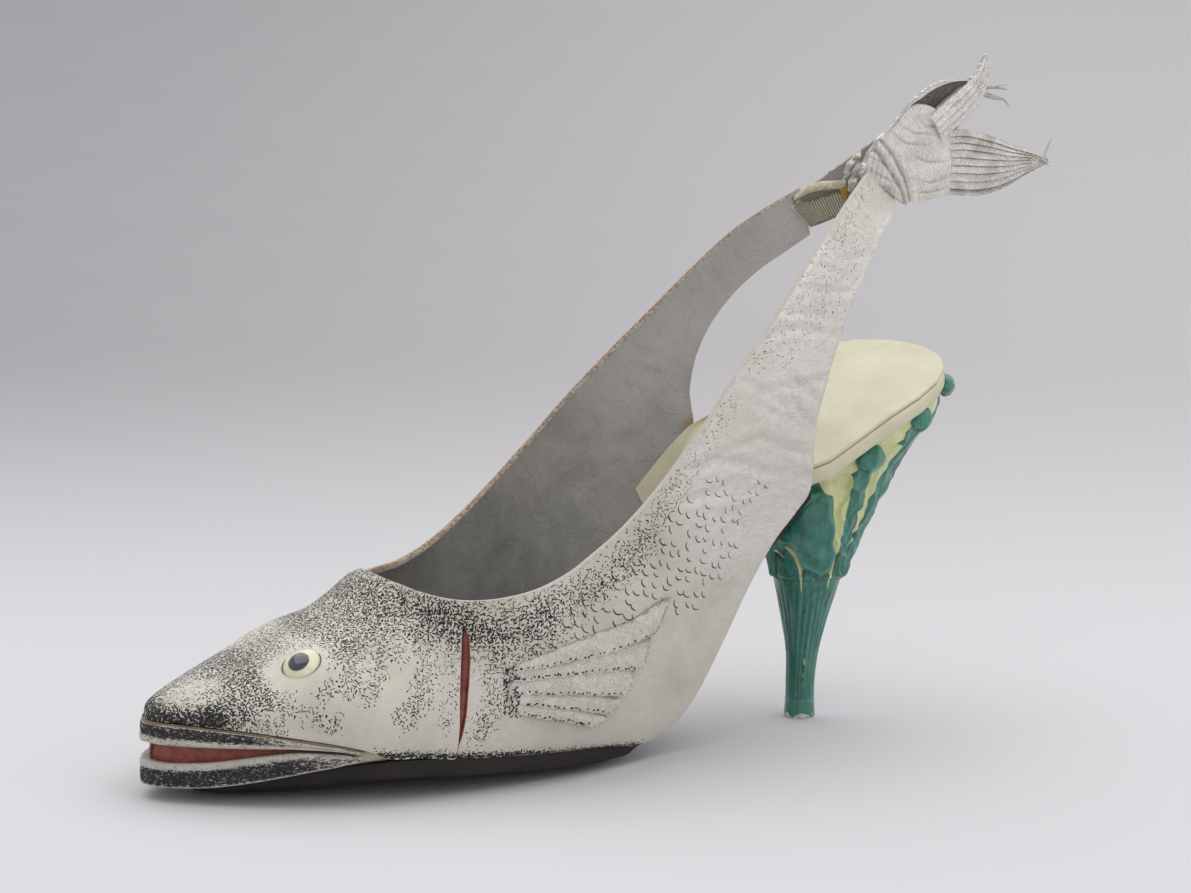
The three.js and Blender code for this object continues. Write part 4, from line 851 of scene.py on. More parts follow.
def upper_side(made, side):
    """One side of the upper: skin with the slit, lining and the edges between them."""
    steps = np.linspace(0, 1, 59)
    rows, depth, tags = side_columns(steps)
    t = np.broadcast_to(steps, rows.shape)
    points, out = skin_frame(side, rows, t)

    shift = -depth
    body = smooth(points[..., 0], 44, 62)
    relief = crease_depth(points, CREASES)
    relief = relief * (1.9 if side == OUTER else 1.5)
    soft = 0.22 * waves(points, 34, 3) + body * 0.16 * waves(points, 12, 5)
    soft += smooth(points[..., 0], 30, 50) * 0.05 * waves(points, 4.5, 8, 40)
    calm = smooth(steps, 0, 0.06) * (1 - smooth(steps, 0.95, 1.0) * (rows > THROAT)) * smooth(rows, 0, 2)
    ends = 1 - smooth(rows, LAST_ROW - 1.2, LAST_ROW - 0.2)
    near = 1 - hump(np.abs(rows - slit_row(t)), 0, 0.5) * (t < 0.85)
    on_ridge = 1 - smooth(t, 0.9, 1.0) * (rows <= THROAT + 1)
    shift = shift + (soft * near * on_ridge - relief) * calm * ends
    tongue = np.zeros(points.shape)
    if side == OUTER:
        tongue = skin_outer(side, 30.0, t) - skin_outer(side, 29.0, t)
        tongue /= np.linalg.norm(tongue, axis=-1)[..., None]
        tongue[..., 1] += 0.25
        reach = 6.4 * np.sqrt(np.clip(1 - np.abs(2 * t - 1.06) ** 3, 0, 1)) * smooth(rows, 28.2, LAST_ROW)
        tongue *= reach[..., None]
    outer = points + out * shift[..., None] + tongue

    ink = ink_at(points)
    far_edge = smooth(points[..., 0], 42, 62) * smooth(points[..., 2], 30, 60)
    pearl = np.clip(0.12 + 0.88 * far_edge + 0.25 * waves(points, 26, 11), 0, 1)
    dirt = 0.30 * (1 - smooth(t, 0.0, 0.10)) * smooth(points[..., 0], -60, 20)
    dirt = dirt + 0.12 * smooth(points[..., 0], 60, 110)
    for i in range(len(tags) - 1):
        pair = slice(i, i + 2)
        tag = max(tags[pair]) if SKIN_MAT in tags[pair] else tags[i + 1]
        made.grid(outer[pair], tag, side == INNER, ink=ink[pair], pearl=pearl[pair], dirt=dirt[pair])

    keep = [i for i, tag in enumerate(tags) if tag == SKIN_MAT]
    rows_in, t_in = rows[keep], t[keep]
    base, way = skin_frame(side, rows_in, t_in)
    sag = crease_depth(base, LINING_CREASES) * 1.5 + 0.30 * waves(base, 22, 21) + 0.10 * waves(base, 8, 22)
    calm_in = smooth(steps, 0, 0.08) * (1 - smooth(steps, 0.93, 1.0)) * smooth(rows_in, 1, 3)
    calm_in = calm_in * (1 - smooth(rows_in, LAST_ROW - 1.2, LAST_ROW - 0.2))
    inner = base - way * (WALL - 0.25 * sag * calm_in)[..., None] + tongue[keep]
    spot = np.array([88.0, 71.0])
    stain = hump(np.linalg.norm(base[..., [0, 2]] - spot, axis=-1), 0, 2.6) * (side == INNER)
    # Painted light: the lining is paler high on the inner side and a little paler on the outer side.
    light = 0.55 * smooth(base[..., 2], 62, 105) * (side == INNER) + 0.2 * (side == OUTER)
    made.grid(inner, LINING_MAT, side == OUTER, stain=stain, light=light)

    for column, low, high in ((0, 0.0, 0.03), (-1, 0.97, 1.0)):
        use = (rows_in[:, -1] >= THROAT - 0.05) | (column == 0)
        a, b, at = outer[keep, column][use], inner[use, column], rows_in[use, column]
        rise = unit(skin_outer(side, at, high) - skin_outer(side, at, low))
        strips = np.stack([a + (b - a) * (1 - math.cos(angle)) / 2 + rise * 0.32 * math.sin(angle)
                           for angle in np.linspace(0, np.pi, 6)], 1)
        raw = np.array([0.0, 0.5, 1, 1, 1, 0.8]) * RAW_EDGES[side, column] + 0.05
        made.grid(strips, RIM_MAT, (side == OUTER) != (column == 0), raw=raw)
    tip = np.stack([outer[-1], (outer[-1] + inner[-1]) / 2, inner[-1]])
    made.grid(tip, RIM_MAT, side == INNER)


def cut_eyes(item):
    """Cuts the two eye openings through the skin, not through the lining."""
    for side in (OUTER, INNER):
        centre, out = eye_frame(side)
        radius = EYE_RADIUS + 0.05
        cutter = Maker()
        rings = lathe(cutter, [(radius, -1.35), (radius, 6.0)], centre, out, mat=RIM_MAT)
        # Painted shade: the floor of each opening gets the near-black material.
        cutter.fan(rings[0], SHADE_MAT)
        cutter.fan(rings[1], SHADE_MAT, flip=True)
        tool = cutter.build("eye_cutter", UPPER_MATS)
        change = item.modifiers.new("eye", "BOOLEAN")
        change.operation, change.solver, change.object = "DIFFERENCE", "EXACT", tool
        change.material_mode = "INDEX"
        graph = bpy.context.evaluated_depsgraph_get()
        fresh = bpy.data.meshes.new_from_object(item.evaluated_get(graph))
        item.modifiers.clear()
        if len(fresh.vertices) > 0.9 * len(item.data.vertices):
            item.data = fresh
        bpy.data.objects.remove(tool)
    finish_mesh(item.data, 38)


made = Maker()
upper_side(made, OUTER)
upper_side(made, INNER)
upper = made.build("upper_leather", UPPER_MATS, merge=0.004)
cut_eyes(upper)
dress(upper, "skin_leather", "upper")
upper_tree = BVHTree.FromObject(upper, bpy.context.evaluated_depsgraph_get())


def lay(tree, points, out, high, lift=0.0):
    """Moves points along out onto a finished surface, from a height above them."""
    laid = []
    for point, way in zip(points.reshape(-1, 3), out.reshape(-1, 3)):
        hit = tree.ray_cast(Vector((point + way * high) * MM), Vector(-way), (high + 4) * MM)[0]
        laid.append(point if hit is None else np.array(hit) * TO_MM + way * lift)
    return np.array(laid).reshape(points.shape)


def on_skin(side, flat, lift):
    """Points just above the finished skin at lengths and heights."""
    flat = np.asarray(flat, float)
    points, out = skin_frame(side, *find_skin(side, flat[..., 0], flat[..., 1]))
    return lay(upper_tree, points, out, 4) + out * lift, out


# Gill: the red strip that shows in the slit
def gill(side):
    t = np.linspace(SLIT_LOW + 0.002, SLIT_TOP - 0.002, 44)
    lip, wide = slit_row(t), slit_width(t)
    across = np.linspace(0, 1, 7)
    row = lip[:, None] + 0.026 + across[None] * (wide[:, None] / ROW_LENGTH)
    deep = 0.72 - 0.30 * np.sin(np.pi * across)[None] * np.minimum(wide / 2, 1)[:, None]
    deep = deep + 0.10 * np.sin(t * 60)[:, None] * across[None]
    points, out = skin_frame(side, row, np.broadcast_to(t[:, None], row.shape))
    made = sheet_between(points - out * deep[..., None], points - out * (deep + 0.3)[..., None])
    dress(made.build("gill_red_" + WORDS[side], [RED]), "mouth_red", "gill_" + WORDS[side])


gill(OUTER)
gill(INNER)


# Eyes
def make_ivory():
    net = Net("eye_ivory", Roughness=0.16, Coat_Weight=0.6, Coat_Roughness=0.08)
    spots = net.ramp(net.noise(1.6, 3, 0.6), 0.62, 0.74, 0, 0.25)
    base = net.tint(net.noise(0.25, 3), (0.64, 0.615, 0.41), (0.73, 0.71, 0.52))
    edge = net.value("edge")
    base = net.mix(net.math("MULTIPLY", edge, 0.75), base, (0.20, 0.15, 0.07))
    net.set(Base_Color=net.mix(spots, base, (0.35, 0.28, 0.15)))
    net.bump(net.noise(0.9, 3), 0.02)
    return net.done()


def make_pupil():
    net = Net("eye_black", Roughness=0.07, Coat_Weight=1.0, Coat_Roughness=0.03)
    net.set(Base_Color=net.mix(net.noise(1.8, 4, 0.7), (0.003, 0.003, 0.006), (0.035, 0.028, 0.06)))
    net.bump(net.noise(2.4, 3), 0.01)
    return net.done()


IVORY, PUPIL = make_ivory(), make_pupil()


def eye(side):
    centre, out = eye_frame(side)
    radius = np.linspace(0, 1, 18)
    rings = [(r * (EYE_RADIUS - 0.12), EYE_DOME - 1.25 * r ** 2.4) for r in radius]
    edge = np.append(np.clip((radius - 0.9) / 0.1, 0, 1), [1, 1])[:, None]
    made = Maker()
    lathe(made, rings + [(EYE_RADIUS - 0.12, -1.2), (0, -1.2)], centre, out, edge=edge)
    dress(made.build("eye_ball_" + WORDS[side], [IVORY]), "eye_white", "eye_" + WORDS[side])
    made = Maker()
    profile = [(0, 1.32), (0.9, 1.28), (1.7, 1.14), (2.3, 0.92), (PUPIL_RADIUS + 0.12, 0.66),
               (PUPIL_RADIUS + 0.1, 0.3), (0, 0.3)]
    lathe(made, profile, centre + np.array([-0.35, 0, 0.15]), out, 48)
    item = made.build("eye_pupil_" + WORDS[side], [PUPIL], sharp=60)
    dress(item, "eye_black", "pupil_" + WORDS[side])


eye(OUTER)
eye(INNER)


# Lips and jaw
def mouth_path():
    """Line round the mouth: points, ways out, rows reached, heights and how full the lips are."""
    rows = MOUTH[-1, 0] * np.linspace(0, 1, 113) ** 1.15
    sides = [(OUTER, r) for r in rows[::-1]] + [(INNER, r) for r in rows[1:]]
    at = np.array([skin_outer(s, np.array(r), np.array(0.0)) for s, r in sides])
    reach = np.array([r for _, r in sides])
    place = np.interp(reach, MOUTH[:, 0], np.arange(len(MOUTH)))
    heights = blend(MOUTH, place)[:, 1:] * SEAT_HEIGHT
    run = np.gradient(at, axis=0)
    out = unit(np.stack([-run[:, 1], run[:, 0], 0 * run[:, 0]], -1))
    if out[len(out) // 2, 0] > 0:
        out = -out
    return at, out, reach, heights, np.minimum(1, (CORNER - reach) / 2.5)


def make_lip():
    net = Net("lip_leather", Specular_IOR_Level=0.3)
    dark = net.value("dark")
    cloud = net.noise(0.2, 3)
    base = net.tint(cloud, (0.43, 0.415, 0.36), (0.53, 0.515, 0.455))
    brush = net.noise(1.0, 4, 0.7, 0.4, net.stretch(0.9, 0.9, 2.6))
    fine = net.noise(2.2, 3, 0.65, 0.0, net.stretch(0.8, 0.8, 2.0, 5.0))
    both = net.math("MULTIPLY_ADD", fine, 0.45, net.math("MULTIPLY", brush, 0.55))
    blot = net.noise(0.5, 3, 0.6, 0.3)
    rough = net.math("MULTIPLY_ADD", blot, 0.5, net.math("MULTIPLY_ADD", both, 4.0, -2.32))
    ink = net.ramp(net.math("MULTIPLY_ADD", dark, 0.80, rough), 0.16, 0.62)
    net.set(Base_Color=net.mix(net.math("MULTIPLY", ink, 0.985), base, (0.009, 0.009, 0.010)))
    net.set(Roughness=net.ramp(both, 0.3, 0.7, 0.36, 0.52))
    wrinkle(net, 0.06, 0.5)
    grain(net, 0.06)
    return net.done()


LIP = make_lip()
# Outward share and height share round the lips
UPPER_LIP = [
    (-1, 0.08), (-0.4, 0.0), (0.5, 0.01), (1.15, 0.09), (1.3, 0.22), (1.0, 0.33), (0.85, 0.37),
    (1.05, 0.50), (1.12, 0.66), (0.98, 0.80), (0.72, 0.88), (0.66, 0.91), (0.62, 0.96), (0.2, 1.0),
    (-0.4, 1.0), (-1, 0.94)]
LOWER_JAW = [
    (-1, 0.08), (-0.4, 0.0), (0.3, 0.0), (0.86, 0.06), (1.05, 0.18), (1.12, 0.38), (1.05, 0.58),
    (0.90, 0.66), (0.98, 0.72), (1.12, 0.82), (0.96, 0.95), (0.4, 1.02), (-0.4, 1.0), (-1, 0.94)]
LIP_ROUGH = 0.07


def lip(name, node, top, bottom, section, dark_of):
    """Band along the mouth between two columns of its heights."""
    at, out, reach, heights, taper = mouth_path()
    fine = at_length(section, np.linspace(0, 1, 46))
    across, up = fine[None, :, 0], fine[None, :, 1]
    high, low = heights[:, top] - 0.3, heights[:, bottom]
    push = np.where(across > 0, across * LIP_PROUD * (0.35 + 0.65 * taper[:, None]),
                    across * LIP_DEPTH * (0.45 + 0.55 * taper[:, None]))
    points = at[:, None] + out[:, None] * push[..., None]
    points[..., 2] = low[:, None] + (high - low)[:, None] * up
    points += out[:, None] * (LIP_ROUGH * waves(points, 5, 31))[..., None]
    made = Maker()
    made.grid(points, loop=True, dark=dark_of(across, up, reach[:, None]))
    made.fan(points[0], dark=0.2)
    made.fan(points[-1], flip=True, dark=0.2)
    dress(made.build(name, [LIP], sharp=50), "lip_leather", node)


def lip_dark(across, up, reach):
    face = smooth(up, 0.24, 0.46) * (1 - smooth(up, 0.93, 0.98)) * (across > 0)
    fade = 1 - 0.92 * smooth(reach, 3.4, 5.8)
    return face * fade + 0.12 * (up < 0.3)


def jaw_dark(across, up, reach):
    face = smooth(up, 0.0, 0.16) * (1 - smooth(up, 0.64, 0.86)) * (across > 0)
    fade = 1.05 - 0.50 * smooth(reach, 4.6, 6.2)
    return face * fade + 0.25 * smooth(up, 0.70, 0.8) * smooth(reach, 3.4, 5.4)


lip("mouth_upper_lip", "upper_lip", 0, 1, UPPER_LIP, lip_dark)
lip("mouth_lower_jaw", "lower_jaw", 2, 3, LOWER_JAW, jaw_dark)


def mouth_red():
    """Red strip behind the lips, bulged where it shows between them."""
    at, out, _, heights, taper = mouth_path()
    share = np.linspace(0, 1, 15)
    low, high = heights[:, 3] + 1.2, heights[:, 0] - 1.2
    z = low[:, None] + (high - low)[:, None] * share[None]
    layers = []
    for deep in (LIP_DEPTH + 0.3, LIP_DEPTH + 1.7):
        swell = 1.5 * np.sin(np.pi * share)[None] * taper[:, None] * (deep < 4)
        points = at[:, None] - out[:, None] * (deep - swell)[..., None]
        points[..., 2] = z
        layers.append(points)
    dress(sheet_between(*layers).build("mouth_red_strip", [RED]), "mouth_red", "mouth_lining")


mouth_red()


# Floor of the shoe: insole board, sock and outsole
def floor_row(share):
    return np.stack([np.interp(share, FLOOR[:, 0], FLOOR[:, k]) for k in range(FLOOR.shape[1])], -1)


def floor_z(share, y):
    row = floor_row(share)
    outer, inner = -row[..., 1] * HALF, row[..., 3] * HALF
    across = (y - outer) / (inner - outer)
    edge = np.minimum(np.abs(across - 0.5) * 2, 1)
    rise = row[..., 2] + (row[..., 4] - row[..., 2]) * across
    return rise * SEAT_HEIGHT - row[..., 5] * SEAT_HEIGHT * (1 - edge ** 2)


def floor_grid(shares, across, inset, drop):
    """Points of the floor; inset and drop may vary across it."""
    shares, across = np.meshgrid(shares, across, indexing="ij")
    row = floor_row(shares)
    low, high = -row[..., 1] * HALF + inset, row[..., 3] * HALF - inset
    y = low + (high - low) * across
    z = floor_z(shares, y) - drop
    return np.stack([shares * LENGTH - TOE_SET, y, z], -1)


def slab_mesh(layers, **values):
    """Slab from grids one below the other. The values belong to its top."""
    made = Maker()
    made.grid(layers[0], **values)
    made.grid(layers[-1], flip=True)
    for upper_layer, lower_layer in zip(layers[:-1], layers[1:]):
        close_edges(made, upper_layer, lower_layer)
    return made


def shares_between(start, end, count):
    even = np.linspace(start, end, count)
    tail = end - (end - start) * 0.08 * np.array([0.5, 0.25, 0.1, 0.04])
    return np.unique(np.concatenate([even, tail]))


def make_cream():
    net = Net("cream_leather", Coat_Weight=0.22, Coat_Roughness=0.3, Specular_IOR_Level=0.45)
    cloud = net.noise(0.07, 4, 0.6)
    base = net.tint(cloud, (0.575, 0.545, 0.37), (0.65, 0.625, 0.46))
    wear = net.ramp(net.noise(0.9, 4, 0.7, 0.6, net.stretch(0.6, 0.6, 2.2)), 0.60, 0.76, 0, 0.34)
    base = net.mix(wear, base, (0.36, 0.27, 0.15))
    line = net.math("MULTIPLY", net.value("line"), net.ramp(net.noise(0.6, 3), 0.3, 0.6, 0.5, 1))
    base = net.mix(line, base, (0.20, 0.11, 0.04))
    lead = net.tint(cloud, (0.17, 0.17, 0.185), (0.24, 0.24, 0.255))
    base = net.mix(net.value("grey"), base, lead)
    spots = net.ramp(net.noise(2.2, 3, 0.6), 0.70, 0.78, 0, 0.35)
    net.set(Base_Color=net.mix(spots, base, (0.30, 0.24, 0.14)))
    net.set(Roughness=net.ramp(net.noise(0.5, 3), 0.3, 0.7, 0.36, 0.5))
    net.bump(net.noise(0.7, 3, 0.6), 0.05)
    grain(net, 0.02)
    return net.done()


CREAM = make_cream()


def make_sole():
    net = Net("sole_leather", Specular_IOR_Level=0.35)
    cloud = net.noise(0.12, 4, 0.65)
    base = net.tint(cloud, (0.010, 0.008, 0.0075), (0.028, 0.020, 0.017), 0.35, 0.7)
    streak = net.ramp(net.noise(0.35, 4, 0.7, 0.3, net.stretch(0.5, 3.0, 1)), 0.58, 0.74)
    worn = net.math("MULTIPLY", streak, net.value("worn"))
    base = net.mix(worn, base, (0.20, 0.14, 0.09))
    base = net.mix(net.math("MULTIPLY", net.value("worn"), 0.35), base, (0.12, 0.085, 0.06))
    net.set(Base_Color=base, Roughness=net.ramp(cloud, 0.3, 0.7, 0.42, 0.68))
    net.bump(streak, 0.06)
    grain(net, 0.05, 0.7)
    return net.done()


SOLE = make_sole()


def outsole():
    shares = shares_between(FLOOR[1, 0], BREAST, 130)
    top = INSOLE_THICK + 0.3
    across = eased(40)
    welt = floor_row(shares)[:, None, 6] * HALF
    edge = [(0.5, 0.0), (0.12, 0.12), (0.0, 0.5), (0.0, OUTSOLE_THICK - 0.9),
            (0.25, OUTSOLE_THICK - 0.3), (0.9, OUTSOLE_THICK)]
    layers = []
    for inset, drop in edge:
        points = floor_grid(shares, across, inset - welt, top + drop)
        floor = 0.0 if drop > 1 else 0.02
        points[..., 2] = np.maximum(points[..., 2], floor + max(0.0, OUTSOLE_THICK - drop) * 0.12)
        layers.append(points)
    worn = hump(layers[-1][..., 0], 2, 26) * hump(layers[-1][..., 1], 0, 24)
    made = slab_mesh(layers)
    made.grid(layers[-1], flip=True, worn=worn)
    dress(made.build("outsole_leather", [SOLE], closed=False, sharp=50), "sole_leather", "outsole")


outsole()


def insole():
    shares = shares_between(FLOOR[0, 0], FLOOR[-1, 0], 170)
    edge = [(0.8, 0.0), (0.24, 0.24), (0.0, 0.8), (0.0, INSOLE_THICK - 0.8), (0.24, INSOLE_THICK - 0.24),
            (0.8, INSOLE_THICK)]
    layers = [floor_grid(shares, eased(34), inset, drop) for inset, drop in edge]
    for k, layer in enumerate(layers):
        layer[..., 2] -= 0.9 * smooth(layer[..., 0], 84, 97) * min(1.0, k / (len(layers) - 2))
    grey = 1 - smooth(layers[0][..., 0], 66, 71)
    made = slab_mesh(layers, grey=grey)
    dress(made.build("insole_board", [CREAM], sharp=50), "insole_cover", "insole")


insole()


def sock():
    """Cream sock over the seat, with a pointed front."""
    shares = np.linspace(0.628, FLOOR[-1, 0] - 0.0035, 150)
    across = eased(44)
    front = np.clip((shares - 0.628) / 0.06, 0, 1)[:, None]
    inset = 0.55
    made = Maker()
    grids = []
    for grow, drop in ((0.5, -1.12), (0.1, -0.98), (0.0, -0.6), (0.0, -0.30)):
        points = floor_grid(shares, across, inset + grow, drop)
        low = floor_grid(shares, across * 0 + 0.16, inset + grow, drop)
        points = low + (points - low) * np.sqrt(front)[..., None]
        grids.append(points)
    top = grids[0]
    row = floor_row(shares)
    outer, inner = -row[:, 1] * HALF + inset, row[:, 3] * HALF - inset
    edge = np.minimum(top[..., 1] - outer[:, None], inner[:, None] - top[..., 1])
    line = (1 - smooth(edge, 0.15, 0.42)) * smooth(top[..., 0], 84, 92) * 0.55
    made = slab_mesh(grids, line=line)
    dress(made.build("heel_sock_leather", [CREAM], sharp=50), "sock_leather", "heel_sock")


sock()


def sock_wing():
    """The cream sock's front flap, curled up the inner wall."""
    share = np.linspace(0, 1, 70)
    top = at_length([(71.6, 22.4, 57.4), (75.2, 22.3, 61.4), (78.6, 22.2, 65.0), (82.0, 22.2, 68.2),
                     (85.4, 22.0, 70.8), (89.2, 21.7, 73.0), (93.0, 21.4, 74.6), (97.0, 20.9, 75.8)], share)
    at = (top[:, 0] - 0.8 + TOE_SET) / LENGTH
    y = floor_row(at)[:, 3] * HALF - 1.2
    low = np.stack([top[:, 0] - 0.8, y, floor_z(at, y) + 0.7], -1)
    low = top + (low - top) * np.sqrt(smooth(share, -0.001, 0.30))[:, None]
    rise = np.linspace(0, 1, 24)
    points = low[:, None] + (top - low)[:, None] * rise[None, :, None]
    points[..., 1] += 1.2 * np.sin(np.pi * rise)[None]
    for point in points.reshape(-1, 3):
        start = Vector((point[0], 2.0, point[2])) * 0.001
        hit = upper_tree.ray_cast(start, Vector((0, 1, 0)), 0.04)[0]
        if hit is not None:
            point[1] = min(point[1], hit.y * 1000 - 0.3)
    far = points + np.array([0, 0.28, 0])
    made = sheet_between(points, far, line=0.0, grey=0.0)
    dress(made.build("heel_sock_wing", [CREAM], sharp=50), "sock_leather")


sock_wing()


# Heel: fluted shaft, leaf, fronds and buds in relief, painted green over pale yellow
# Lines of turn round the heel from 0.5 at the front to 1 at the rear, and height share
LEAF = [(0.44, 0.43), (0.50, 0.418), (0.515, 0.45), (0.52, 0.49), (0.584, 0.525), (0.62, 0.48),
    (0.652, 0.45), (0.712, 0.425), (0.76, 0.44), (0.772, 0.50), (0.745, 0.56), (0.716, 0.62),
    (0.700, 0.672), (0.66, 0.694), (0.60, 0.70), (0.50, 0.66), (0.44, 0.62)]
STALKS = [
    ([(0.838, 0.425), (0.816, 0.47), (0.790, 0.545), (0.762, 0.62), (0.762, 0.69), (0.750, 0.74),
      (0.740, 0.79)], [1.5, 2.3, 2.8, 2.7, 2.2, 2.0, 1.6]),
    ([(0.862, 0.43), (0.850, 0.53), (0.845, 0.615), (0.842, 0.70), (0.815, 0.78), (0.822, 0.83),
      (0.822, 0.90)], [1.2, 2.2, 2.8, 3.0, 2.4, 2.0, 1.6]),
    ([(0.93, 0.43), (0.93, 0.55), (0.928, 0.68), (0.935, 0.80), (0.940, 0.87), (0.945, 0.93)],
     [1.6, 2.2, 2.8, 2.5, 1.8, 1.5]),
    ([(1.0, 0.43), (1.0, 0.6), (1.0, 0.78), (1.0, 0.94)], [1.8, 2.4, 2.6, 1.6]),
]
SLIVERS = [
    ([(0.536, 0.497), (0.570, 0.478)], [0.5, 0.1]),
    ([(0.584, 0.515), (0.622, 0.490), (0.640, 0.45), (0.646, 0.36)], [0.35, 0.9, 0.6, 0.05]),
    ([(0.705, 0.72), (0.724, 0.66), (0.742, 0.59), (0.764, 0.52), (0.774, 0.46), (0.780, 0.37)],
     [2.0, 1.6, 1.2, 0.9, 0.65, 0.05]),
    ([(0.792, 0.80), (0.796, 0.745), (0.800, 0.685), (0.814, 0.60), (0.820, 0.50)],
     [1.7, 1.3, 1.1, 0.8, 0.05]),
    ([(0.884, 0.86), (0.888, 0.79), (0.893, 0.74), (0.896, 0.68)], [1.3, 0.8, 0.5, 0.05]),
    ([(0.966, 0.90), (0.966, 0.80), (0.966, 0.70)], [1.2, 0.8, 0.05]),
]
BUDS = [(0.742, 0.785, 3.7, 0.0), (0.822, 0.885, 3.3, 0.0), (0.945, 0.945, 2.8, 2.3)]
FLUTES = [0.5, 0.545, 0.58, 0.615, 0.648, 0.685, 0.728, 0.77, 0.812, 0.86, 0.91, 0.955, 1.0]
ROUND, TALL = 75.0, SEAT_HEIGHT


def tapered(flat, path, widths):
    """How far points lie inside a tapered line, in millimetres, and the share along it."""
    scaled = np.array(path) * (ROUND, TALL)
    far, share = path_distance(flat, scaled)
    runs = run_lengths(scaled)
    return np.interp(share, runs / runs[-1], widths) - far, share


def heel_relief(turn, z):
    """Height of the carving in millimetres, and the shares of pale paint, chips and painted recess shade."""
    u = np.where(turn < 0.5, 1 - turn, turn)
    flip = np.where(turn < 0.5, 0.004 * np.sin(z * 40), 0)
    flat = np.stack([(u + flip) * ROUND, z * TALL], -1)
    cyl = np.stack([np.cos(turn * 2 * np.pi) * 11, np.sin(turn * 2 * np.pi) * 11, z * TALL], -1)
    radius = np.interp(z, HEEL[:, 0], HEEL[:, 2]) * HALF
    relief = np.zeros(turn.shape)
    hollow = np.zeros(turn.shape)
    for i, at in enumerate(FLUTES):
        lean = at + 0.012 * np.sin(z * 9 + i)
        away = (u - lean) * 2 * np.pi * radius
        deep = 0.30 * (1 - smooth(z, 0.32, 0.43)) * (0.45 + 0.55 * smooth(z, 0.08, 0.25))
        relief -= deep * hump(away, 0, 0.5)
        hollow += (deep > 0.05) * hump(away, 0, 0.36) * 0.45
    ridge = (u - 0.704) * 2 * np.pi * radius
    relief += 0.26 * hump(ridge, 0, 0.5) * smooth(z, 0.05, 0.12) * (1 - smooth(z, 0.27, 0.40))
    relief += 0.34 * smooth(z, 0.412, 0.420)

    wavy = flat + np.stack([0.45 * waves(cyl, 7, 41), 0.45 * waves(cyl, 6, 42)], -1)
    leaf = inside_distance(wavy, np.array(LEAF) * (ROUND, TALL))
    body = smooth(leaf, -0.3, 1.2)
    fan = np.sin(flat[..., 0] * 0.38 + flat[..., 1] * 0.72 + 1.6 * waves(cyl, 12, 43))
    relief += body * (1.25 + 0.40 * fan) + 0.60 * hump(leaf, 1.1, 0.9)
    arch = hump(path_distance(wavy, np.array([(0.52, 0.52), (0.575, 0.565), (0.635, 0.535), (0.70, 0.50),
                                              (0.74, 0.455)]) * (ROUND, TALL))[0], 0, 1.5)
    relief += 0.7 * arch * body
    veins = path_distance(wavy, np.array([(0.53, 0.47), (0.60, 0.60), (0.66, 0.68)]) * (ROUND, TALL))[0]
    relief -= 0.35 * hump(veins, 0, 0.6) * body
    hollow += 0.8 * hump(leaf, -0.5, 0.6) * (z > 0.4)
    green = body
    for k, (path, widths) in enumerate(STALKS):
        inside, share = tapered(wavy, path, widths)
        inside = inside + 0.45 * np.sin(share * 34 + k * 2)
        cover = smooth(inside, -0.2, 0.7)
        folds = 0.28 * np.sin(inside * 2.6 + share * 22) + 0.16 * waves(cyl, 3.2, 50 + k)
        relief = np.maximum(relief, relief * (1 - cover) + cover * (1.15 + folds))
        hollow += 0.7 * hump(inside, -0.4, 0.5) * (z > 0.42)
        green = np.maximum(green, cover)
    pale = np.zeros(turn.shape)
    for path, widths in SLIVERS:
        inside, _ = tapered(flat, path, widths)
        pale = np.maximum(pale, smooth(inside, -0.12, 0.22))
        relief -= 0.5 * smooth(inside, -0.5, 0.6) * (z > 0.43)
    top = np.interp(u, [0.5, 0.60, 0.63, 0.70, 0.74, 0.80, 0.86, 0.92, 1.0],
                    [1.2, 0.76, 0.705, 0.690, 0.765, 0.825, 0.872, 0.905, 0.925])
    zone = smooth(z + 0.012 * waves(cyl, 5, 44), top - 0.004, top + 0.008)
    pale = np.maximum(pale, zone * (1 - smooth(green, 0.35, 0.6)))
    relief += (0.02 + 0.05 * (z > 0.42)) * waves(cyl, 3.0, 45, 40)
    crack = hump((z - 0.4165) * TALL, 0, 0.22) * (u < 0.83)
    relief -= 0.28 * crack
    speck = waves(cyl, 2.0, 46, 60)
    chip = smooth(speck, 0.9, 1.1) * (hump(ridge, 0, 0.36) * (z < 0.30) + 1.2 * crack)
    chip = np.clip(chip, 0, 1)
    relief -= 0.12 * chip
    return relief, np.clip(pale, 0, 1), chip, np.clip(hollow + crack, 0, 1)


def heel_point(turn, z):
    row = blend(HEEL, np.interp(z, HEEL[:, 0], np.arange(len(HEEL))))
    relief, pale, chip, hollow = heel_relief(turn, z)
    angle = turn * 2 * np.pi
    points = np.stack([row[..., 1] * LENGTH - TOE_SET + np.cos(angle) * (row[..., 2] * HALF + relief),
                       np.sin(angle) * (row[..., 3] * HALF + relief), z * SEAT_HEIGHT], -1)
    return points, pale, chip, hollow


def seat_under(points):
    """Height share of the underside of the sole above points."""
    share = (points[..., 0] + TOE_SET) / LENGTH
    drop = np.where(share < BREAST + 0.001, INSOLE_THICK + OUTSOLE_THICK + 0.6, INSOLE_THICK + 0.3)
    return (floor_z(np.minimum(share, 0.96), points[..., 1]) - drop) / SEAT_HEIGHT


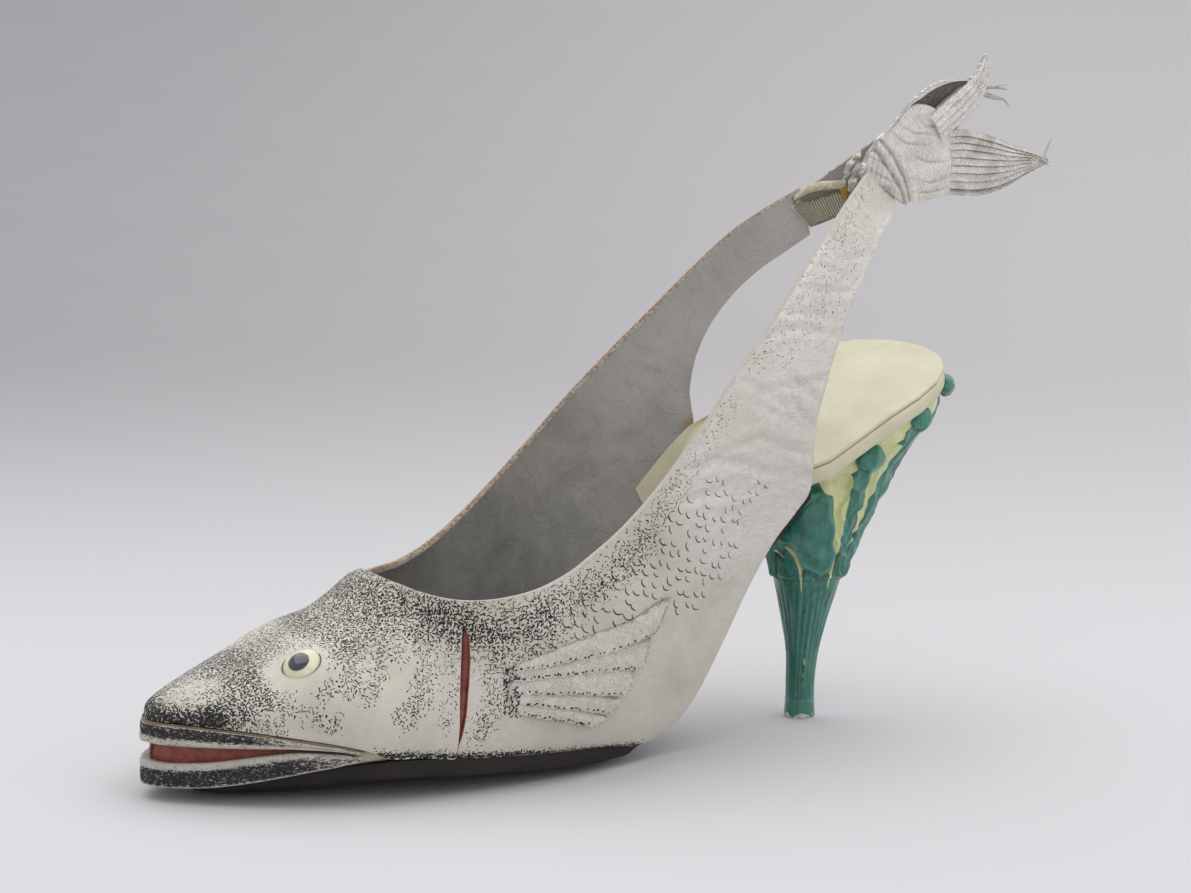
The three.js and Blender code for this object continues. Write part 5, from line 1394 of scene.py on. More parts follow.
def make_heel_paint():
    net = Net("heel_paint", Coat_Weight=0.5, Coat_Roughness=0.16, Specular_IOR_Level=0.5)
    pale, chip, hollow = net.value("pale"), net.value("chip"), net.value("hollow")
    brush = net.noise(0.5, 4, 0.65, 0.8, net.stretch(1, 1, 0.35))
    green = net.tint(brush, (0.014, 0.115, 0.082), (0.042, 0.245, 0.172), 0.30, 0.72)
    green = net.mix(net.ramp(net.noise(0.12, 3), 0.35, 0.7, 0, 0.35), green, (0.050, 0.26, 0.20))
    # Painted shade: darker green in the flutes, round the leaf and stalks, in the crack and on the buds'
    # inner sides.
    green = net.mix(net.math("MULTIPLY", hollow, 0.75), green, (0.004, 0.045, 0.034))
    # Painted highlight: paler green on the sharpest raised edges.
    raised = net.node("ShaderNodeNewGeometry").outputs["Pointiness"]
    green = net.mix(net.ramp(raised, 0.51, 0.56, 0, 0.35), green, (0.16, 0.42, 0.35))
    tint = net.tint(net.noise(0.25, 3), (0.56, 0.62, 0.25), (0.70, 0.73, 0.40))
    edge = net.noise(1.4, 3, 0.6)
    share = net.ramp(net.math("ADD", pale, net.math("MULTIPLY_ADD", edge, 0.3, -0.15)), 0.40, 0.60)
    base = net.mix(share, green, tint)
    flake = net.ramp(net.math("ADD", chip, net.math("MULTIPLY_ADD", edge, 0.5, -0.25)), 0.42, 0.52)
    base = net.mix(flake, base, (0.55, 0.55, 0.50))
    dust = net.ramp(net.noise(3.0, 3, 0.7), 0.70, 0.76, 0, 0.5)
    net.set(Base_Color=net.mix(dust, base, (0.40, 0.42, 0.34)))
    net.set(Roughness=net.ramp(brush, 0.3, 0.7, 0.24, 0.40))
    net.bump(brush, 0.24)
    net.bump(net.math("SUBTRACT", 1, flake), 0.08)
    net.bump(net.noise(1.6, 3, 0.6), 0.03)
    return net.done()


HEEL_PAINT = make_heel_paint()


def bud(made, turn, z, radius, far):
    """A pod with a soft ridge at the top of a stalk."""
    at, *_ = heel_point(np.array(turn), np.array(z))
    angle = turn * 2 * math.pi
    out = np.array([math.cos(angle), math.sin(angle), 0.0])
    side = np.array([-math.sin(angle), math.cos(angle), 0.0])
    at = at + out * far
    polar, circle = np.meshgrid(np.linspace(0, np.pi, 26), around(40), indexing="ij")
    ball = np.stack([np.sin(polar) * np.cos(circle), np.sin(polar) * np.sin(circle), np.cos(polar)], -1)
    ridge = 1 + 0.13 * hump(ball[..., 0] - 0.35 * ball[..., 2], 0.1, 0.22)
    ridge -= 0.10 * hump(ball[..., 2], -0.75, 0.25)
    grow = radius * ridge + 0.10 * waves(ball * 6 + turn * 50, 3.5, 61)
    points = (at - out * 0.4 + side * (ball[..., 0] * grow * 1.08)[..., None]
              + out * (ball[..., 1] * grow * 0.80)[..., None]
              + np.array([0, 0, 1.0]) * (ball[..., 2] * grow * 0.94)[..., None])
    # Painted shade on the side of the pod that faces the heel.
    made.grid(points, flip=True, loop=True, hollow=0.55 * hump(ball[..., 1], -0.5, 0.5))


def heel():
    sides, levels = 260, 220
    turn = np.arange(sides) / sides
    low = (TOP_PIECE_HEIGHT + 0.02) / SEAT_HEIGHT
    top = np.full(sides, 0.8)
    for _ in range(40):
        points, *_ = heel_point(turn, top)
        top = top + 0.5 * (np.clip(seat_under(points), 0.5, 1.05) - top)
    share = np.linspace(0, 1, levels)[:, None]
    z = low + (top[None] - low) * share
    points, pale, chip, hollow = heel_point(np.broadcast_to(turn[None], z.shape), z)
    made = Maker()
    made.grid(points, 0, flip=True, loop=True, pale=pale, chip=chip, hollow=hollow)
    made.fan(points[0])
    made.fan(points[-1], flip=True)
    for at, height, radius, far in BUDS:
        bud(made, at, height, radius, far)
        bud(made, 1 - at, height, radius, far)
    dress(made.build("heel_carved", [HEEL_PAINT], sharp=70, closed=False), "heel_paint", "heel")


heel()


def top_piece():
    angle = around(72)
    profile = [(0.0, 0.0), (TIP_RADIUS - 0.5, 0.0), (TIP_RADIUS - 0.12, 0.12), (TIP_RADIUS, 0.45),
               (TIP_RADIUS * 0.985, 1.2), (TIP_RADIUS * 0.97, 2.2), (TIP_RADIUS * 0.955, 3.2),
               (TIP_RADIUS * 0.94, 4.2), (TIP_RADIUS * 0.90, TOP_PIECE_HEIGHT), (0.0, TOP_PIECE_HEIGHT)]
    line = at_length(profile, np.linspace(0, 1, 60))
    rings = np.stack([line[:, :1] * np.cos(angle), line[:, :1] * np.sin(angle),
                      np.repeat(line[:, 1:], len(angle), 1)], -1)
    nick = smooth(waves(rings, 2.4, 71), 0.35, 0.8) * hump(rings[..., 2], 0.3, 0.7)
    rings[..., :2] *= (1 - 0.10 * nick)[..., None]
    rings[..., 0] += HEEL[0, 1] * LENGTH - TOE_SET
    chip = smooth(0.75 + 0.6 * waves(rings, 2.4, 72) - rings[..., 2], -0.15, 0.2)
    made = Maker()
    made.grid(rings, 0, flip=True, loop=True, chip=np.clip(chip + nick, 0, 1))
    dress(made.build("heel_top_piece", [HEEL_PAINT], sharp=50), "heel_tip", "top_piece")


top_piece()


# Pearly leather of fins and tail
def make_pearl(name, low, high, ribbed):
    net = Net(name, Coat_Weight=0.25, Coat_Roughness=0.25, Specular_IOR_Level=0.5)
    shade, ribs = net.value("shade"), net.value("along")
    cloud = net.noise(0.25, 4, 0.6)
    base = net.tint(cloud, low, high)
    fold = net.noise(1.3, 4, 0.7, 0.8)
    base = net.mix(net.ramp(fold, 0.60, 0.80, 0, 0.16), base, (0.26, 0.24, 0.22))
    base = net.mix(shade, base, (0.15, 0.125, 0.12))
    net.set(Base_Color=base, Metallic=0.22, Roughness=net.ramp(fold, 0.3, 0.7, 0.24, 0.42))
    wave = net.math("ADD", net.math("MULTIPLY", ribs, 8.2), net.math("MULTIPLY", fold, 3.0))
    net.bump(net.math("SINE", wave), ribbed)
    wrinkle(net, 0.09, 0.55, share=0.8, bend=0.8)
    wrinkle(net, 0.05, 1.3, bend=0.6)
    grain(net, 0.03)
    return net.done()


PEARL = make_pearl("pearl_leather", (0.74, 0.72, 0.655), (0.88, 0.865, 0.81), 0.05)
FIN_LEATHER = make_pearl("fin_leather", (0.60, 0.58, 0.505), (0.72, 0.70, 0.63), 0.025)


def make_ink():
    net = Net("painted_ink", Roughness=0.5)
    net.set(Base_Color=net.mix(net.noise(1.5, 3), (0.010, 0.010, 0.012), (0.030, 0.028, 0.028)))
    net.bump(net.noise(3.0, 2), 0.02)
    return net.done()


PAINT = make_ink()

FIN_LINES = [
    [(9.9, 31.5), (19.3, 34.4), (29.3, 37.2), (40.5, 39.6), (47.8, 42.6), (52.4, 43.8)],
    [(9.0, 29.9), (22.7, 31.1), (36.7, 32.6), (47.6, 35.6)],
    [(8.6, 27.3), (22.9, 27.7), (36.3, 27.5), (44.8, 26.9)],
    [(8.4, 24.6), (23.3, 22.9), (40.6, 20.6)],
    [(8.6, 22.3), (22.2, 19.5), (36.9, 16.2)],
    [(8.9, 20.0), (20.4, 16.8), (32.3, 13.6)],
]
FIN_TOPS = [(52.4, 43.8), (46.9, 34.4), (42.6, 26.6), (39.0, 19.9), (35.9, 15.7)]


def fin(side):
    """Five rays that overlap like pleats, sewn on behind the gill."""
    made = Maker()
    along, across = np.linspace(0, 1, 44), np.linspace(0, 1, 12)
    for i in range(5):
        upper_line = np.array(FIN_LINES[i], float)
        if i:
            upper_line = upper_line + np.array([0, 0.9])
            upper_line[-1] = FIN_TOPS[i]
        a = at_length(upper_line, along)
        b = at_length(FIN_LINES[i + 1], along)
        flat = a[:, None] + (b - a)[:, None] * across[None, :, None]
        rise = 0.10 + 0.62 * across[None] ** 1.5 * smooth(along, -0.1, 0.25)[:, None]
        rise = rise + 0.35 * np.sin(np.pi * across)[None] * smooth(along, 0, 0.3)[:, None]
        rise = rise + 0.55 * (along ** 3)[:, None] + (0.26 if i == 0 else 0.04)
        points, out = on_skin(side, flat, 0.0)
        rise = rise + 0.03 * waves(points, 2.6, 80 + i, 40)
        face = points + out * rise[..., None]
        back = points + out * np.maximum(rise - 0.38, 0.03)[..., None]
        run = np.broadcast_to((along * 36)[:, None], rise.shape)
        shade = 0.45 * smooth(1 - across, 0.86, 1)[None] * np.ones_like(rise) * (i > 0)
        shade = shade + 0.35 * (1 - smooth(along, 0.0, 0.05))[:, None]
        sheet_between(face, back, made, along=run, shade=np.clip(shade, 0, 0.8))
    item = made.build("fin_rays_" + WORDS[side], [FIN_LEATHER], sharp=45)
    return dress(item, "silver_leather", "fin_" + WORDS[side])


def strokes(name, side, paths, widths, tree=None, lift=0.045, slot="skin_leather"):
    """Thin painted strokes laid on the surface. Each path has the same number of points."""
    paths = np.array(paths, float)
    points, out = on_skin(side, paths, lift)
    if tree is not None:
        points = lay(tree, points, out, 5, lift)
    across = unit(np.cross(np.gradient(points, axis=1), out))
    count = paths.shape[1]
    taper = np.sin(np.linspace(0.12, 0.88, count) * np.pi) ** 0.6
    half = np.asarray(widths)[:, None] / 2 * taper[None]
    made = Maker()
    for i in range(len(paths)):
        pair = [points[i] - across[i] * half[i][:, None], points[i] + across[i] * half[i][:, None]]
        made.grid(np.stack(pair))
    dress(made.build(name, [PAINT], merge=0.0, closed=False), slot)


LATTICE = [(14.9, 36.5), (21.2, 44.2), (31.7, 48.2), (37, 55), (46.7, 58.9), (52.3, 65),
    (56.6, 68.8), (64, 72.8), (83.1, 69.6), (77.3, 56.3), (70.3, 46.5), (63.4, 40.9), (58.4, 36.6),
    (54.7, 37.2), (50.5, 42.0), (36.2, 37.6), (19.3, 34.0)]


def scale_marks(side):
    """Small arcs of painted scales behind the gill, in staggered rows."""
    rng = np.random.default_rng(5 + side)
    way = np.array([math.cos(math.radians(38)), math.sin(math.radians(38))])
    other = np.array([-way[1], way[0]])
    paths, widths = [], []
    for i in range(-24, 40):
        for j in range(-20, 30):
            at = np.array([40.0, 45.0]) + way * (i * 3.3 + (j % 2) * 1.65) + other * (j * 2.5)
            at = at + rng.normal(0, 0.36, 2)
            keep = rng.random()
            inside = inside_distance(at[None], LATTICE)[0]
            if inside < -0.4 or keep < 0.20:
                continue
            fade = smooth(np.array(at[0] + at[1] * 0.6), 75, 122)
            radius = rng.uniform(1.6, 2.1) * (1 - 0.35 * fade)
            start = rng.uniform(158, 196)
            angle = np.radians(np.linspace(start, start + rng.uniform(70, 108), 9))
            paths.append(at + radius * np.stack([np.cos(angle), np.sin(angle)], -1))
            widths.append(rng.uniform(0.26, 0.38) * (1 - 0.40 * fade))
    strokes("scale_marks_" + WORDS[side], side, paths, widths)


def fin_marks(side, item):
    """Specks above each ray's lower edge and blots where the fin is sewn on."""
    rng = np.random.default_rng(9 + side)
    tree = BVHTree.FromObject(item, bpy.context.evaluated_depsgraph_get())
    paths, widths = [], []
    for i, line in enumerate(FIN_LINES[1:]):
        share = 0.06
        while share < 0.95:
            at = at_length(line, share) + np.array([0, rng.uniform(0.35, 0.95)])
            angle = rng.uniform(-0.5, 1.5) if rng.random() < 0.6 else rng.uniform(-0.2, 0.2)
            long = rng.uniform(0.15, 0.42)
            way = np.array([math.cos(angle), math.sin(angle)]) * long
            paths.append([at - way, at - way * 0.3, at + way * 0.3, at + way])
            widths.append(rng.uniform(0.34, 0.60))
            share += rng.uniform(0.015, 0.085) if i != 1 else rng.uniform(0.012, 0.06)
    strokes("fin_specks_" + WORDS[side], side, paths, widths, tree, 0.05, "silver_leather")
    paths, widths = [], []
    for _ in range(52):
        at = np.array([rng.uniform(7.2, 11.2), rng.uniform(19.6, 31.0)])
        angle = rng.choice([math.pi / 2, 0.1, 0.9]) + rng.normal(0, 0.25)
        way = np.array([math.cos(angle), math.sin(angle)]) * rng.uniform(0.3, 0.75)
        paths.append([at - way, at - way * 0.3, at + way * 0.3, at + way])
        widths.append(rng.uniform(0.28, 0.5))
    strokes("fin_sewing_" + WORDS[side], side, paths, widths, tree, 0.05, "silver_leather")


for hand in (OUTER, INNER):
    fin_marks(hand, fin(hand))
    scale_marks(hand)


# Tail of pleated leather in the plane of the joined straps. Lines are length and height
TAIL_Y = -0.6
BASE_A = [(135, 128.3), (132.4, 129.8), (128.6, 132.8), (124.4, 134.0), (121.7, 136.9),
    (123.2, 141.1), (126.7, 145.6), (130.6, 148.8), (134.4, 152.6), (138.2, 153.6), (142.6, 151.9),
    (145.6, 146.4)]
BASE_B = [(135, 128.3), (139, 128.9), (143.5, 129.6), (147.4, 130.6), (147.6, 136), (147.4, 141.4),
    (145.6, 146.4)]
LOBE_TOP = [(145.6, 146.0), (150.8, 146.3), (158.2, 144.4), (164.8, 141.7), (170.8, 139.4),
    (176, 137.1)]
LOBE_LOW = [(146.4, 130.3), (152.8, 129.4), (158.6, 129.6), (163.7, 131), (169.5, 133.7),
    (176, 136.1)]
STRIP_A = [(140.6, 150.5), (145.5, 154.4), (150.5, 157.8), (154, 161), (156.4, 165.0)]
STRIP_B = [(144.0, 144.6), (150, 148.7), (154.3, 152.8), (156.7, 157.1), (157.1, 160.8),
    (156.5, 165.0)]
HOOD_A = [(127, 145.7), (131.9, 151.2), (136.8, 155.6), (141.1, 158.1), (145.4, 159.2), (148.3, 159.2),
          (151.4, 158.7)]
HOOD_B = [(130, 146.0), (134.4, 150.6), (138.2, 151.6), (141.2, 149.6), (143.4, 150.6), (146.9, 153.8),
          (151.0, 158.3)]
PINCHES = [
    [(127.1, 145.3), (130.8, 140.6), (133.8, 134.7), (135.7, 129.5)],
    [(125.7, 142.8), (129.4, 137.6), (133.1, 132.2), (134.3, 129)],
]
BASE_FOLDS = [
    [(123.6, 138.5), (127.0, 136.2), (130.4, 134.6)], [(124.8, 141.0), (128.6, 138.8)],
    [(124.0, 135.0), (127.4, 133.6), (131.0, 132.4)], [(129.5, 147.2), (134.0, 144.0), (140.5, 143.2)],
    [(131.6, 149.0), (136.0, 146.6), (142.0, 146.0)], [(134.8, 141.6), (139.8, 139.0), (146.0, 138.6)],
    [(136.6, 151.0), (139.4, 148.0), (143.4, 147.6)], [(137.0, 135.0), (141.0, 133.6), (146.4, 134.6)],
    [(140.0, 150.6), (142.4, 147.2), (145.0, 142.0)], [(136.0, 131.6), (141.0, 131.2), (146.0, 131.8)],
]


def tail_sheet(name, a, b, steps, shape, thick=0.9, node=None, extra=None):
    """Sheet between two lines. shape gives, for grids of f, g and points, the push to the near side
    and the shade; the far face follows it loosely."""
    f, g = np.meshgrid(np.linspace(0, 1, steps[0]), np.linspace(0, 1, steps[1]), indexing="ij")
    line_a, line_b = at_length(a, f[:, 0]), at_length(b, f[:, 0])
    flat = line_a[:, None] + (line_b - line_a)[:, None] * g[..., None]
    points = np.stack([flat[..., 0], np.full(f.shape, TAIL_Y), flat[..., 1]], -1)
    push, shade, along = shape(f, g, points)
    near, far = points.copy(), points.copy()
    near[..., 1] -= push + thick / 2
    far[..., 1] -= push * 0.55 - thick / 2
    made = sheet_between(near, far, shade=np.clip(shade, 0, 1), along=along)
    if extra:
        extra(made)
    item = made.build(name, [PEARL], sharp=60)
    return dress(item, "silver_leather", *([node] if node else []))


def base_shape(f, g, points):
    flat = points[..., [0, 2]]
    rim = np.sin(np.pi * np.clip(g, 0, 1)) ** 0.5 * np.sin(np.pi * np.clip(f, 0.03, 0.97)) ** 0.5
    push = 1.1 * rim
    shade = np.zeros(f.shape)
    for path in PINCHES:
        far, _ = path_distance(flat, path)
        push -= 0.60 * hump(far, 0, 0.50) - 0.20 * hump(far, 1.4, 0.7)
        shade += 0.55 * hump(far, 0, 0.35)
    for path in BASE_FOLDS:
        far, share = path_distance(flat, path)
        deep = np.sin(np.pi * np.clip(share, 0.05, 0.95)) ** 0.5
        push -= 0.17 * deep * (hump(far, 0, 0.34) - 0.5 * hump(far, 0.8, 0.5))
        shade += 0.35 * deep * hump(far, 0, 0.3)
    near_strap = 1 - smooth(flat[..., 0] + 0.4 * (flat[..., 1] - 128), 128, 136)
    ribs = path_distance(flat, [(131, 127), (138, 160)])[0] * 4.2
    push += 0.22 * near_strap * np.sin(ribs)
    shade += 0.30 * near_strap * (0.5 + 0.5 * np.sin(ribs + 2))
    push += 0.09 * waves(points, 2.2, 90, 50) + 0.14 * waves(points, 6, 91)
    return push, shade, points[..., 0] * 0.8 + points[..., 2] * 0.25


def lobe_shape(f, g, points):
    fade = 1 - smooth(f, 0.78, 1.0)
    start = smooth(f, 0, 0.12)
    folds = np.array([0.0, 0.10, 0.20, 0.30, 0.42, 0.54, 0.66, 0.78, 0.90, 1.0])
    index = np.clip(np.searchsorted(folds, g, side="right") - 1, 0, len(folds) - 2)
    inside = (g - folds[index]) / (folds[index + 1] - folds[index])
    step = inside ** 1.4
    deep = np.where(index == 7, 0.9, np.where(index % 3 == 2, 0.6, 0.42))
    push = deep * step * (0.35 + 0.65 * fade) + 0.5 * np.sin(np.pi * g) * fade
    shade = 0.75 * (1 - smooth(inside, 0.0, 0.22)) * start * (index > 0) * (0.4 + 0.6 * fade)
    shade += 0.55 * (index == 8) * (1 - smooth(inside, 0.0, 0.8))
    shade += 0.22 * smooth(waves(points, 7, 95), -0.2, 0.7) * start + 0.08
    push += 0.12 * waves(points, 2.6, 92, 40)
    return push * (0.5 + 0.5 * start), shade, points[..., 0]


def strip_shape(f, g, points):
    folds = g * 4
    inside = folds - np.floor(np.minimum(folds, 3.999))
    push = 1.5 + 0.45 * inside ** 1.3 * (1 - smooth(f, 0.8, 1)) + 0.7 * np.sin(np.pi * g) * (1 - f)
    shade = 0.65 * (1 - smooth(inside, 0, 0.25)) * (g > 0.05) * (1 - 0.6 * smooth(f, 0.75, 1))
    push += 0.12 * waves(points, 2.4, 93, 40)
    return push, shade, f * 23


def hood_shape(f, g, points):
    edge = smooth(g, 0.12, 0.30)
    push = 1.3 - 2.6 * edge * np.sin(np.pi * np.clip(f, 0.05, 1)) ** 0.6 + 0.3 * smooth(g, 0.8, 1)
    shade = 0.95 * edge * smooth(f, 0.18, 0.42)
    push += 0.14 * waves(points, 2.4, 94, 40)
    return push, shade, f * 20


def strips(made):
    """Thin strips at the upper lobe and frayed ends."""
    def add(path, widths, y, shade, thick=0.25):
        fine = chain(path, np.linspace(0, 1, 16))
        points = np.stack([fine[:, 0], np.full(16, y), fine[:, 1]], -1)
        ribbon(made, points, spread(widths, 16), (0.1, 0.35, 1.0), thick, shade=shade, along=0.0)

    add([(150.8, 156.0), (156, 156.3), (160, 156.2), (163.8, 155.4)], [1.6, 1.2, 0.8, 0.3], -0.4, 0.55)
    add([(150.5, 154.0), (156, 154.9), (160.8, 153.5), (163.2, 152.9), (165.1, 151.0)],
        [2.2, 1.9, 1.3, 0.8, 0.2], 0.2, 0.50)
    add([(159, 155.9), (161.8, 156.6), (164.2, 156.4)], [0.3, 0.22, 0.12], -0.5, 0.6, 0.12)
    add([(144.6, 145.0), (148.8, 147.2), (150.8, 149.6), (150.2, 152.0)], [2.4, 2.6, 2.0, 0.8], 0.3, 0.45)


def frays(made):
    """Torn leather and threads at the end of the lower lobe."""
    rng = np.random.default_rng(4)
    lines = [([(174.4, 136.8), (175.5, 139.6), (176.8, 142.6)], [1.5, 1.0, 0.2]),
             ([(174.6, 136.9), (176.4, 136.5), (178.0, 136.2)], [1.0, 0.6, 0.15]),
             ([(174.4, 136.2), (176.0, 135.4), (177.2, 134.4)], [0.5, 0.3, 0.1])]
    for path, widths in lines:
        fine = chain(path, np.linspace(0, 1, 12))
        points = np.stack([fine[:, 0], np.full(12, TAIL_Y - 0.6 + rng.normal(0, 0.1)), fine[:, 1]], -1)
        ribbon(made, points, spread(widths, 12), (1.0, 0.25, 0.2), 0.22, shade=0.25, along=0.0)
    for _ in range(9):
        at = np.array([rng.uniform(174.6, 176.4), rng.uniform(135.8, 137.4)])
        way = np.array([rng.uniform(0.4, 1.4), rng.uniform(-1.2, 1.4)])
        fine = at + way * np.linspace(0, 1, 6)[:, None]
        points = np.stack([fine[:, 0], np.full(6, TAIL_Y - 0.5 + rng.normal(0, 0.3)), fine[:, 1]], -1)
        ribbon(made, points, np.linspace(0.2, 0.08, 6), (1.0, 0.3, 0.2), 0.1, shade=0.2, along=0.0)


tail_sheet("tail_base_leather", BASE_A, BASE_B, (150, 74), base_shape, 1.3, "tail_base")
tail_sheet("tail_lower_lobe", LOBE_TOP, LOBE_LOW, (110, 110), lobe_shape, 0.9, "tail_lobe_lower", frays)
tail_sheet("tail_upper_strip", STRIP_A, STRIP_B, (80, 50), strip_shape, 0.7, "tail_lobe_upper", strips)
tail_sheet("tail_upper_hood", HOOD_A, HOOD_B, (90, 30), hood_shape, 0.6)


# Elastic and the end of the inner strap
RIBS = 9.6


def make_elastic():
    net = Net("ribbed_elastic", Roughness=0.8, Sheen_Weight=0.3)
    ribs = net.value("along")
    yarn = net.noise(2.4, 3, 0.7)
    line = net.math("SINE", net.math("ADD", net.math("MULTIPLY", ribs, RIBS), yarn))
    base = net.tint(line, (0.34, 0.30, 0.18), (0.62, 0.58, 0.43), -0.9, 0.4)
    net.set(Base_Color=net.mix(net.ramp(net.noise(0.4, 3), 0.5, 0.8, 0, 0.4), base, (0.36, 0.28, 0.14)))
    net.bump(line, 0.22)
    net.bump(yarn, 0.06)
    return net.done()


def make_roll():
    net = Net("rolled_edge", Roughness=0.5, Coat_Weight=0.1)
    shade = net.value("shade")
    cloud = net.noise(0.5, 4, 0.65)
    base = net.tint(cloud, (0.52, 0.47, 0.30), (0.68, 0.64, 0.48))
    base = net.mix(shade, base, (0.15, 0.08, 0.03))
    net.set(Base_Color=base)
    wrinkle(net, 0.12, 0.6)
    grain(net, 0.04)
    return net.done()


def make_glue():
    net = Net("old_glue", Roughness=0.3, Coat_Weight=0.4)
    net.set(Base_Color=net.mix(net.noise(0.9, 3), (0.30, 0.15, 0.02), (0.50, 0.30, 0.06)))
    net.bump(net.noise(1.2, 3), 0.1)
    return net.done()


ELASTIC, ROLL, GLUE = make_elastic(), make_roll(), make_glue()


def slide(points, y):
    """Moves points read at y 8 along the line of sight, so that they sit on the strap."""
    points = np.asarray(points, float)
    y = np.broadcast_to(np.asarray(y, float), points.shape[:-1])
    return np.stack([points[..., 0] + (y - 8) * 0.531, y, points[..., 1] - (y - 8) * 0.251], -1)


def strap_y(x):
    return np.interp(x, [106, 113, 122, 131], [12.6, 10.2, 5.2, 1.2])


def strap_sheet(top, low, steps, lift):
    """Points between two lines read on the strap, and the share along them."""
    f, g = np.meshgrid(np.linspace(0, 1, steps[0]), np.linspace(0, 1, steps[1]), indexing="ij")
    top, low = at_length(top, f[:, 0]), at_length(low, f[:, 0])
    flat = top[:, None] + (low - top)[:, None] * g[..., None]
    return slide(flat, strap_y(flat[..., 0]) + lift), f


def strap_flap():
    """End of the inner strap, which lies under the elastic."""
    points, f = strap_sheet(
        [(107.8, 130.9), (109.5, 131.9), (115.3, 134.9), (121, 138.0), (126.7, 141.3), (130.9, 143.6)],
        [(111.4, 122.8), (112.5, 123.6), (117.0, 125.0), (121.3, 126.3), (126.0, 128.6), (130.0, 131.5)],
        (60, 16), 1.0)
    points[..., 1] += 0.25 * waves(points, 6, 101)
    sunk = 0.8 * (1 - smooth(f, 0, 0.25))[..., None] * np.array([0, 1, 0])
    near = points - np.array([0.15, 0.55, 0]) + sunk
    far = points + np.array([0.15, 0.55, 0]) + sunk
    made = Maker()
    made.grid(near, LINING_MAT, stain=0.12)
    made.grid(far, SKIN_MAT, flip=True, ink=0.10, pearl=0.9, dirt=0.1)
    close_edges(made, near, far, RIM_MAT, raw=0.9)
    dress(made.build("strap_end_leather", UPPER_MATS), "skin_leather")


def elastic():
    points, f = strap_sheet([(107.6, 128.6), (113.5, 130.2), (120.8, 131.4), (127.0, 133.4)],
                            [(112.9, 123.0), (117.2, 124.0), (121.3, 125.4), (127.0, 128.4)],
                            (200, 12), -0.2)
    run = f * 17
    near = points - np.stack([0.2 + 0 * f, 0.45 + 0.12 * np.sin(run * RIBS), 0 * f], -1)
    far = points + np.array([0.2, 0.45, 0])
    dress(sheet_between(near, far, along=run).build("elastic_ribbed", [ELASTIC]), "elastic", "strap_elastic")


def rolled_edge():
    """Turned edge of the strap above the elastic."""
    made = Maker()
    roll = chain([(108.2, 130.5), (111.5, 132.2), (115.4, 132.9), (119.4, 132.8), (122.6, 132.6)],
                 np.linspace(0, 1, 30))
    wide = np.interp(np.linspace(0, 1, 30), [0, 0.15, 0.5, 1], [0.5, 1.15, 1.35, 1.2])
    rings = tube(slide(roll, strap_y(roll[:, 0]) - 0.9), wide, np.array([-0.3, -0.85, 0]), 14, 0.6)
    rings = rings + (0.12 * waves(rings, 2.6, 103))[..., None] * np.array([0, -1, 0.6])
    made.grid(rings, loop=True, shade=smooth(-np.sin(around(14)), 0.35, 0.9) * 0.8)
    made.fan(rings[0], shade=0.5)
    made.fan(rings[-1], flip=True, shade=0.5)
    dress(made.build("strap_rolled_edge", [ROLL]), "elastic")


def glue():
    made = Maker()
    drop = slide(chain([(121.6, 132.2), (122.2, 130.6), (121.9, 128.8)], np.linspace(0, 1, 10)), 3.6)
    ribbon(made, drop, [0.6, 1.5, 1.9, 2.0, 1.9, 1.8, 1.7, 1.5, 1.2, 0.5], (1, -0.4, 0), 0.8)
    dress(made.build("strap_glue", [GLUE]), "elastic")


def scraps():
    """Torn pearly leather between the strap and the tail."""
    made = Maker()
    lines = [([(122.3, 135.4), (123.6, 137.8), (125.4, 139.2), (126.2, 140.8)], [0.8, 2.0, 2.2, 0.9], 2.0),
             ([(123.6, 131.0), (124.4, 133.2), (125.6, 135.6), (125.9, 138.2)], [1.0, 2.4, 2.6, 1.0], 1.2),
             ([(121.8, 134.0), (123.4, 135.4), (125.2, 135.2)], [0.6, 1.6, 0.8], 2.6)]
    for path, widths, y in lines:
        points = slide(chain(path, np.linspace(0, 1, 16)), y + 0.4 * np.sin(np.arange(16)))
        ribbon(made, points, spread(widths, 16), (1, -0.5, 0.3), 0.5, shade=0.35, along=0.0)
    dress(made.build("strap_scraps", [PEARL]), "silver_leather")


strap_flap()
elastic()
rolled_edge()
glue()
scraps()


# Brown line in the seam above the upper lip
def lip_seam():
    at, out, reach, heights, taper = mouth_path()
    keep = reach < 6.6
    path = at[keep] + out[keep] * (0.18 + 0.25 * taper[keep])[:, None]
    path[:, 2] = heights[keep, 0] - 0.12
    made = Maker()
    made.grid(tube(path, 0.20 + 0.05 * waves(path, 3, 111), out[keep][:, None], 8), loop=True, shade=0.85)
    dress(made.build("lip_seam", [ROLL], closed=False), "lip_leather")


lip_seam()


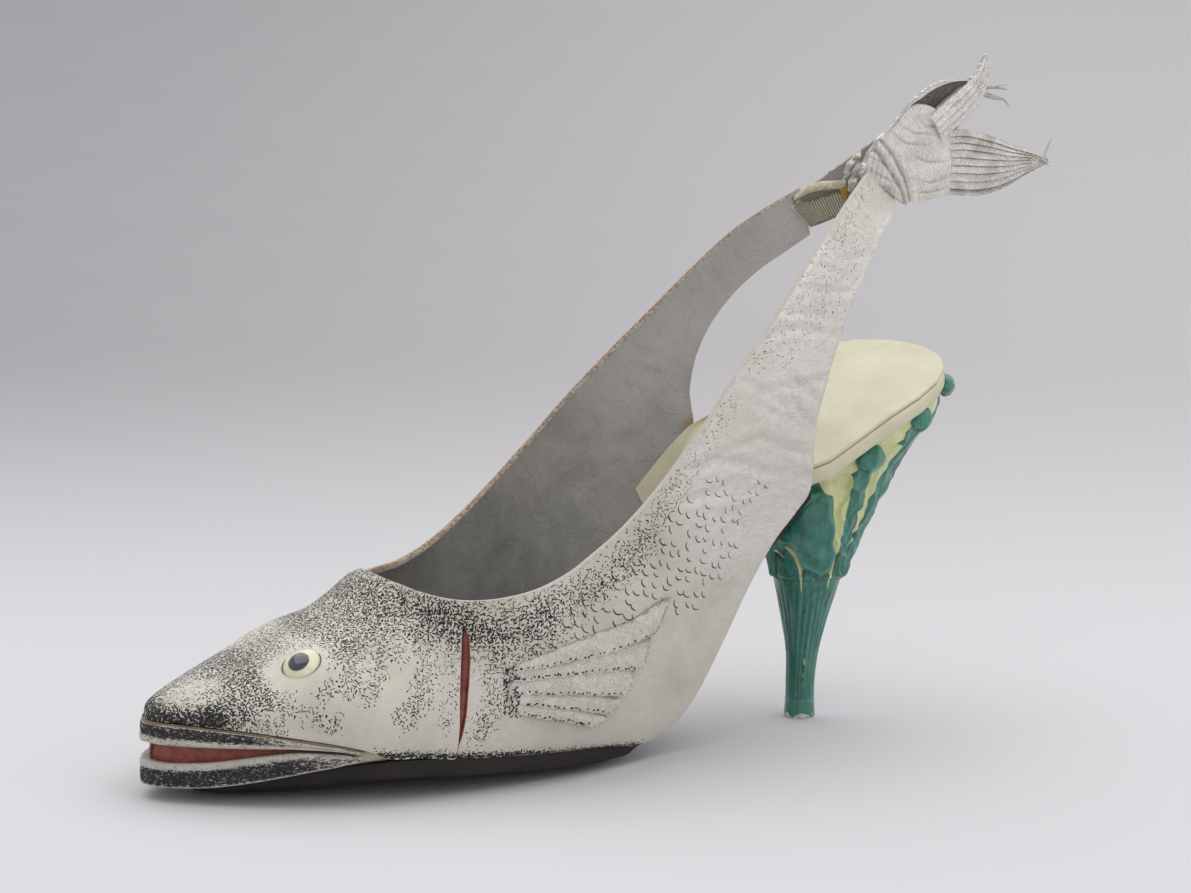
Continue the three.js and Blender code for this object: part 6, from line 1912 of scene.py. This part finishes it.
# Camera, floor and light
def place_camera():
    azimuth, elevation, roll, far = -28.0, 12.5, 0.7, 1.6
    camera = bpy.data.objects.new("camera", bpy.data.cameras.new("camera"))
    bpy.context.scene.collection.objects.link(camera)
    camera.data.sensor_width, camera.data.lens = 36, 192.5
    camera.data.clip_start, camera.data.clip_end = 0.05, 50
    a, e, r = math.radians(azimuth), math.radians(elevation), math.radians(roll)
    back = Vector((math.sin(a) * math.cos(e), -math.cos(a) * math.cos(e), math.sin(e)))
    side = Vector((math.cos(a), math.sin(a), 0))
    up = back.cross(side)
    right = side * math.cos(r) + up * math.sin(r)
    up = up * math.cos(r) - side * math.sin(r)
    turn = Matrix((right, up, back)).transposed().to_4x4()
    camera.matrix_world = Matrix.Translation(Vector((0.0687, 0.03728, 0.06525)) + back * far) @ turn
    bpy.context.scene.camera = camera


def make_paper():
    """Pale grey paper with painted shade: a little darker far behind the shoe and to the left."""
    net = Net("paper", Roughness=0.9, Specular_IOR_Level=0.1)
    back = net.ramp(net.vector("DOT_PRODUCT", net.place, (0.469, 0.883, 0)), 40, 520)
    right = net.ramp(net.vector("DOT_PRODUCT", net.place, (0.883, -0.469, 0)), -230, 260)
    far = net.mix(right, (0.315, 0.31, 0.325), (0.455, 0.45, 0.455))
    base = net.mix(back, (0.625, 0.625, 0.645), far)
    net.set(Base_Color=net.mix(net.ramp(net.noise(0.02, 2), 0.3, 0.7, 0, 0.03), base, (0.5, 0.5, 0.5)))
    net.bump(net.noise(0.6, 2), 0.01)
    return net.done()


def stage():
    """Flat pale paper, wide enough to fill every view."""
    share = np.linspace(-1, 1, 81)
    line = 9000 * share * np.abs(share)
    points = np.zeros((len(line), len(line), 3))
    points[..., 0], points[..., 1] = line[:, None], line[None]
    made = Maker()
    made.grid(points)
    made.build("paper_floor", [make_paper()], closed=False)


def lamp(name, at, aim, size, power):
    light = bpy.data.lights.new(name, "AREA")
    light.shape, light.size, light.size_y = "RECTANGLE", size[0], size[1]
    light.energy = power
    item = bpy.data.objects.new(name, light)
    item.location = at
    item.rotation_mode = "QUATERNION"
    item.rotation_quaternion = (Vector(aim) - Vector(at)).to_track_quat("-Z", "Y")
    bpy.context.scene.collection.objects.link(item)


place_camera()
stage()
lamp("soft_top", (0.3, 0.3, 1.65), (0.03, 0, 0), (3.0, 2.4), 25)
lamp("soft_front", (1.3, -1.4, 0.7), (0.05, 0, 0.06), (1.6, 1.2), 2)
world = bpy.data.worlds.new("world")
world.use_nodes = True
world.node_tree.nodes["Background"].inputs["Color"].default_value = (0.96, 0.94, 0.955, 1)
world.node_tree.nodes["Background"].inputs["Strength"].default_value = 0.76
bpy.context.scene.world = world
bpy.context.scene.view_settings.view_transform = "Standard"
bpy.context.scene.view_settings.look = "None"
